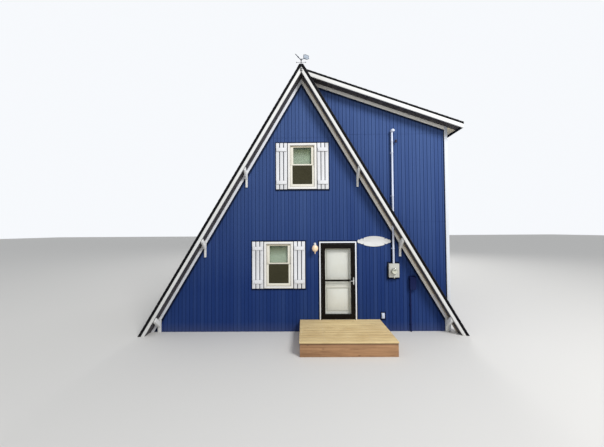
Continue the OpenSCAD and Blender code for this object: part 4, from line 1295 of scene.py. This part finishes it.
def camera():
    ahead = Vector((math.sin(CAMERA_YAW) * math.cos(CAMERA_PITCH),
                    math.cos(CAMERA_YAW) * math.cos(CAMERA_PITCH), math.sin(CAMERA_PITCH)))
    right = Vector((math.cos(CAMERA_YAW), -math.sin(CAMERA_YAW), 0))
    up = right.cross(ahead)
    tilted_right = math.cos(CAMERA_ROLL) * right + math.sin(CAMERA_ROLL) * up
    tilted_up = -math.sin(CAMERA_ROLL) * right + math.cos(CAMERA_ROLL) * up
    lens = bpy.data.cameras.new("camera")
    lens.sensor_width = CAMERA_SENSOR
    lens.lens = CAMERA_LENS
    lens.clip_end = CAMERA_REACH
    eye = bpy.data.objects.new("camera", lens)
    axes = Matrix((tilted_right, tilted_up, -ahead)).transposed().to_4x4()
    eye.matrix_world = Matrix.Translation(CAMERA_PLACE) @ axes
    bpy.context.scene.collection.objects.link(eye)
    bpy.context.scene.camera = eye


def lamp(name, place, target, size, power):
    data = bpy.data.lights.new(name, "AREA")
    data.shape = "DISK"
    data.size = size
    data.energy = power
    light = bpy.data.objects.new(name, data)
    light.location = place
    light.rotation_euler = (Vector(target) - Vector(place)).to_track_quat("-Z", "Y").to_euler()
    bpy.context.scene.collection.objects.link(light)


def stage():
    bpy.ops.object.select_all(action="DESELECT")
    bpy.ops.mesh.primitive_plane_add(size=FLOOR_SIZE, location=(0, 0, FLOOR_Z))
    ground = bpy.context.object
    ground.name = "studio_floor"
    settle(ground)
    paint = Paint("studio_floor", roughness=0.9)
    paint.colour(srgb(214, 212, 208))
    ground.data.materials.append(paint.material)
    world = bpy.data.worlds.new("studio")
    bpy.context.scene.world = world
    world.use_nodes = True
    tree = world.node_tree
    sky = tree.nodes["Background"]
    sky.inputs["Color"].default_value = (0.93, 0.96, 1.0, 1)
    sky.inputs["Strength"].default_value = SKY_LIGHT
    shown = tree.nodes.new("ShaderNodeBackground")
    shown.inputs["Color"].default_value = (0.93, 0.95, 0.98, 1)
    shown.inputs["Strength"].default_value = SKY_SHOWN
    rays = tree.nodes.new("ShaderNodeLightPath")
    seen = tree.nodes.new("ShaderNodeMath")
    seen.operation = "MAXIMUM"
    tree.links.new(rays.outputs["Is Camera Ray"], seen.inputs[0])
    tree.links.new(rays.outputs["Is Glossy Ray"], seen.inputs[1])
    blend = tree.nodes.new("ShaderNodeMixShader")
    tree.links.new(seen.outputs[0], blend.inputs[0])
    tree.links.new(sky.outputs[0], blend.inputs[1])
    tree.links.new(shown.outputs[0], blend.inputs[2])
    tree.links.new(blend.outputs[0], tree.nodes["World Output"].inputs["Surface"])
    for lamp_row in LAMPS:
        lamp(*lamp_row)
    bpy.context.scene.view_settings.view_transform = "Standard"


camera()
stage()
front_siding()
other_siding()
shingles()
ridge_shingles()
eased_boards()
plain_nodes()
blinds()
stoop_screws()
meter()
mast_flashing()
vane_arrow()
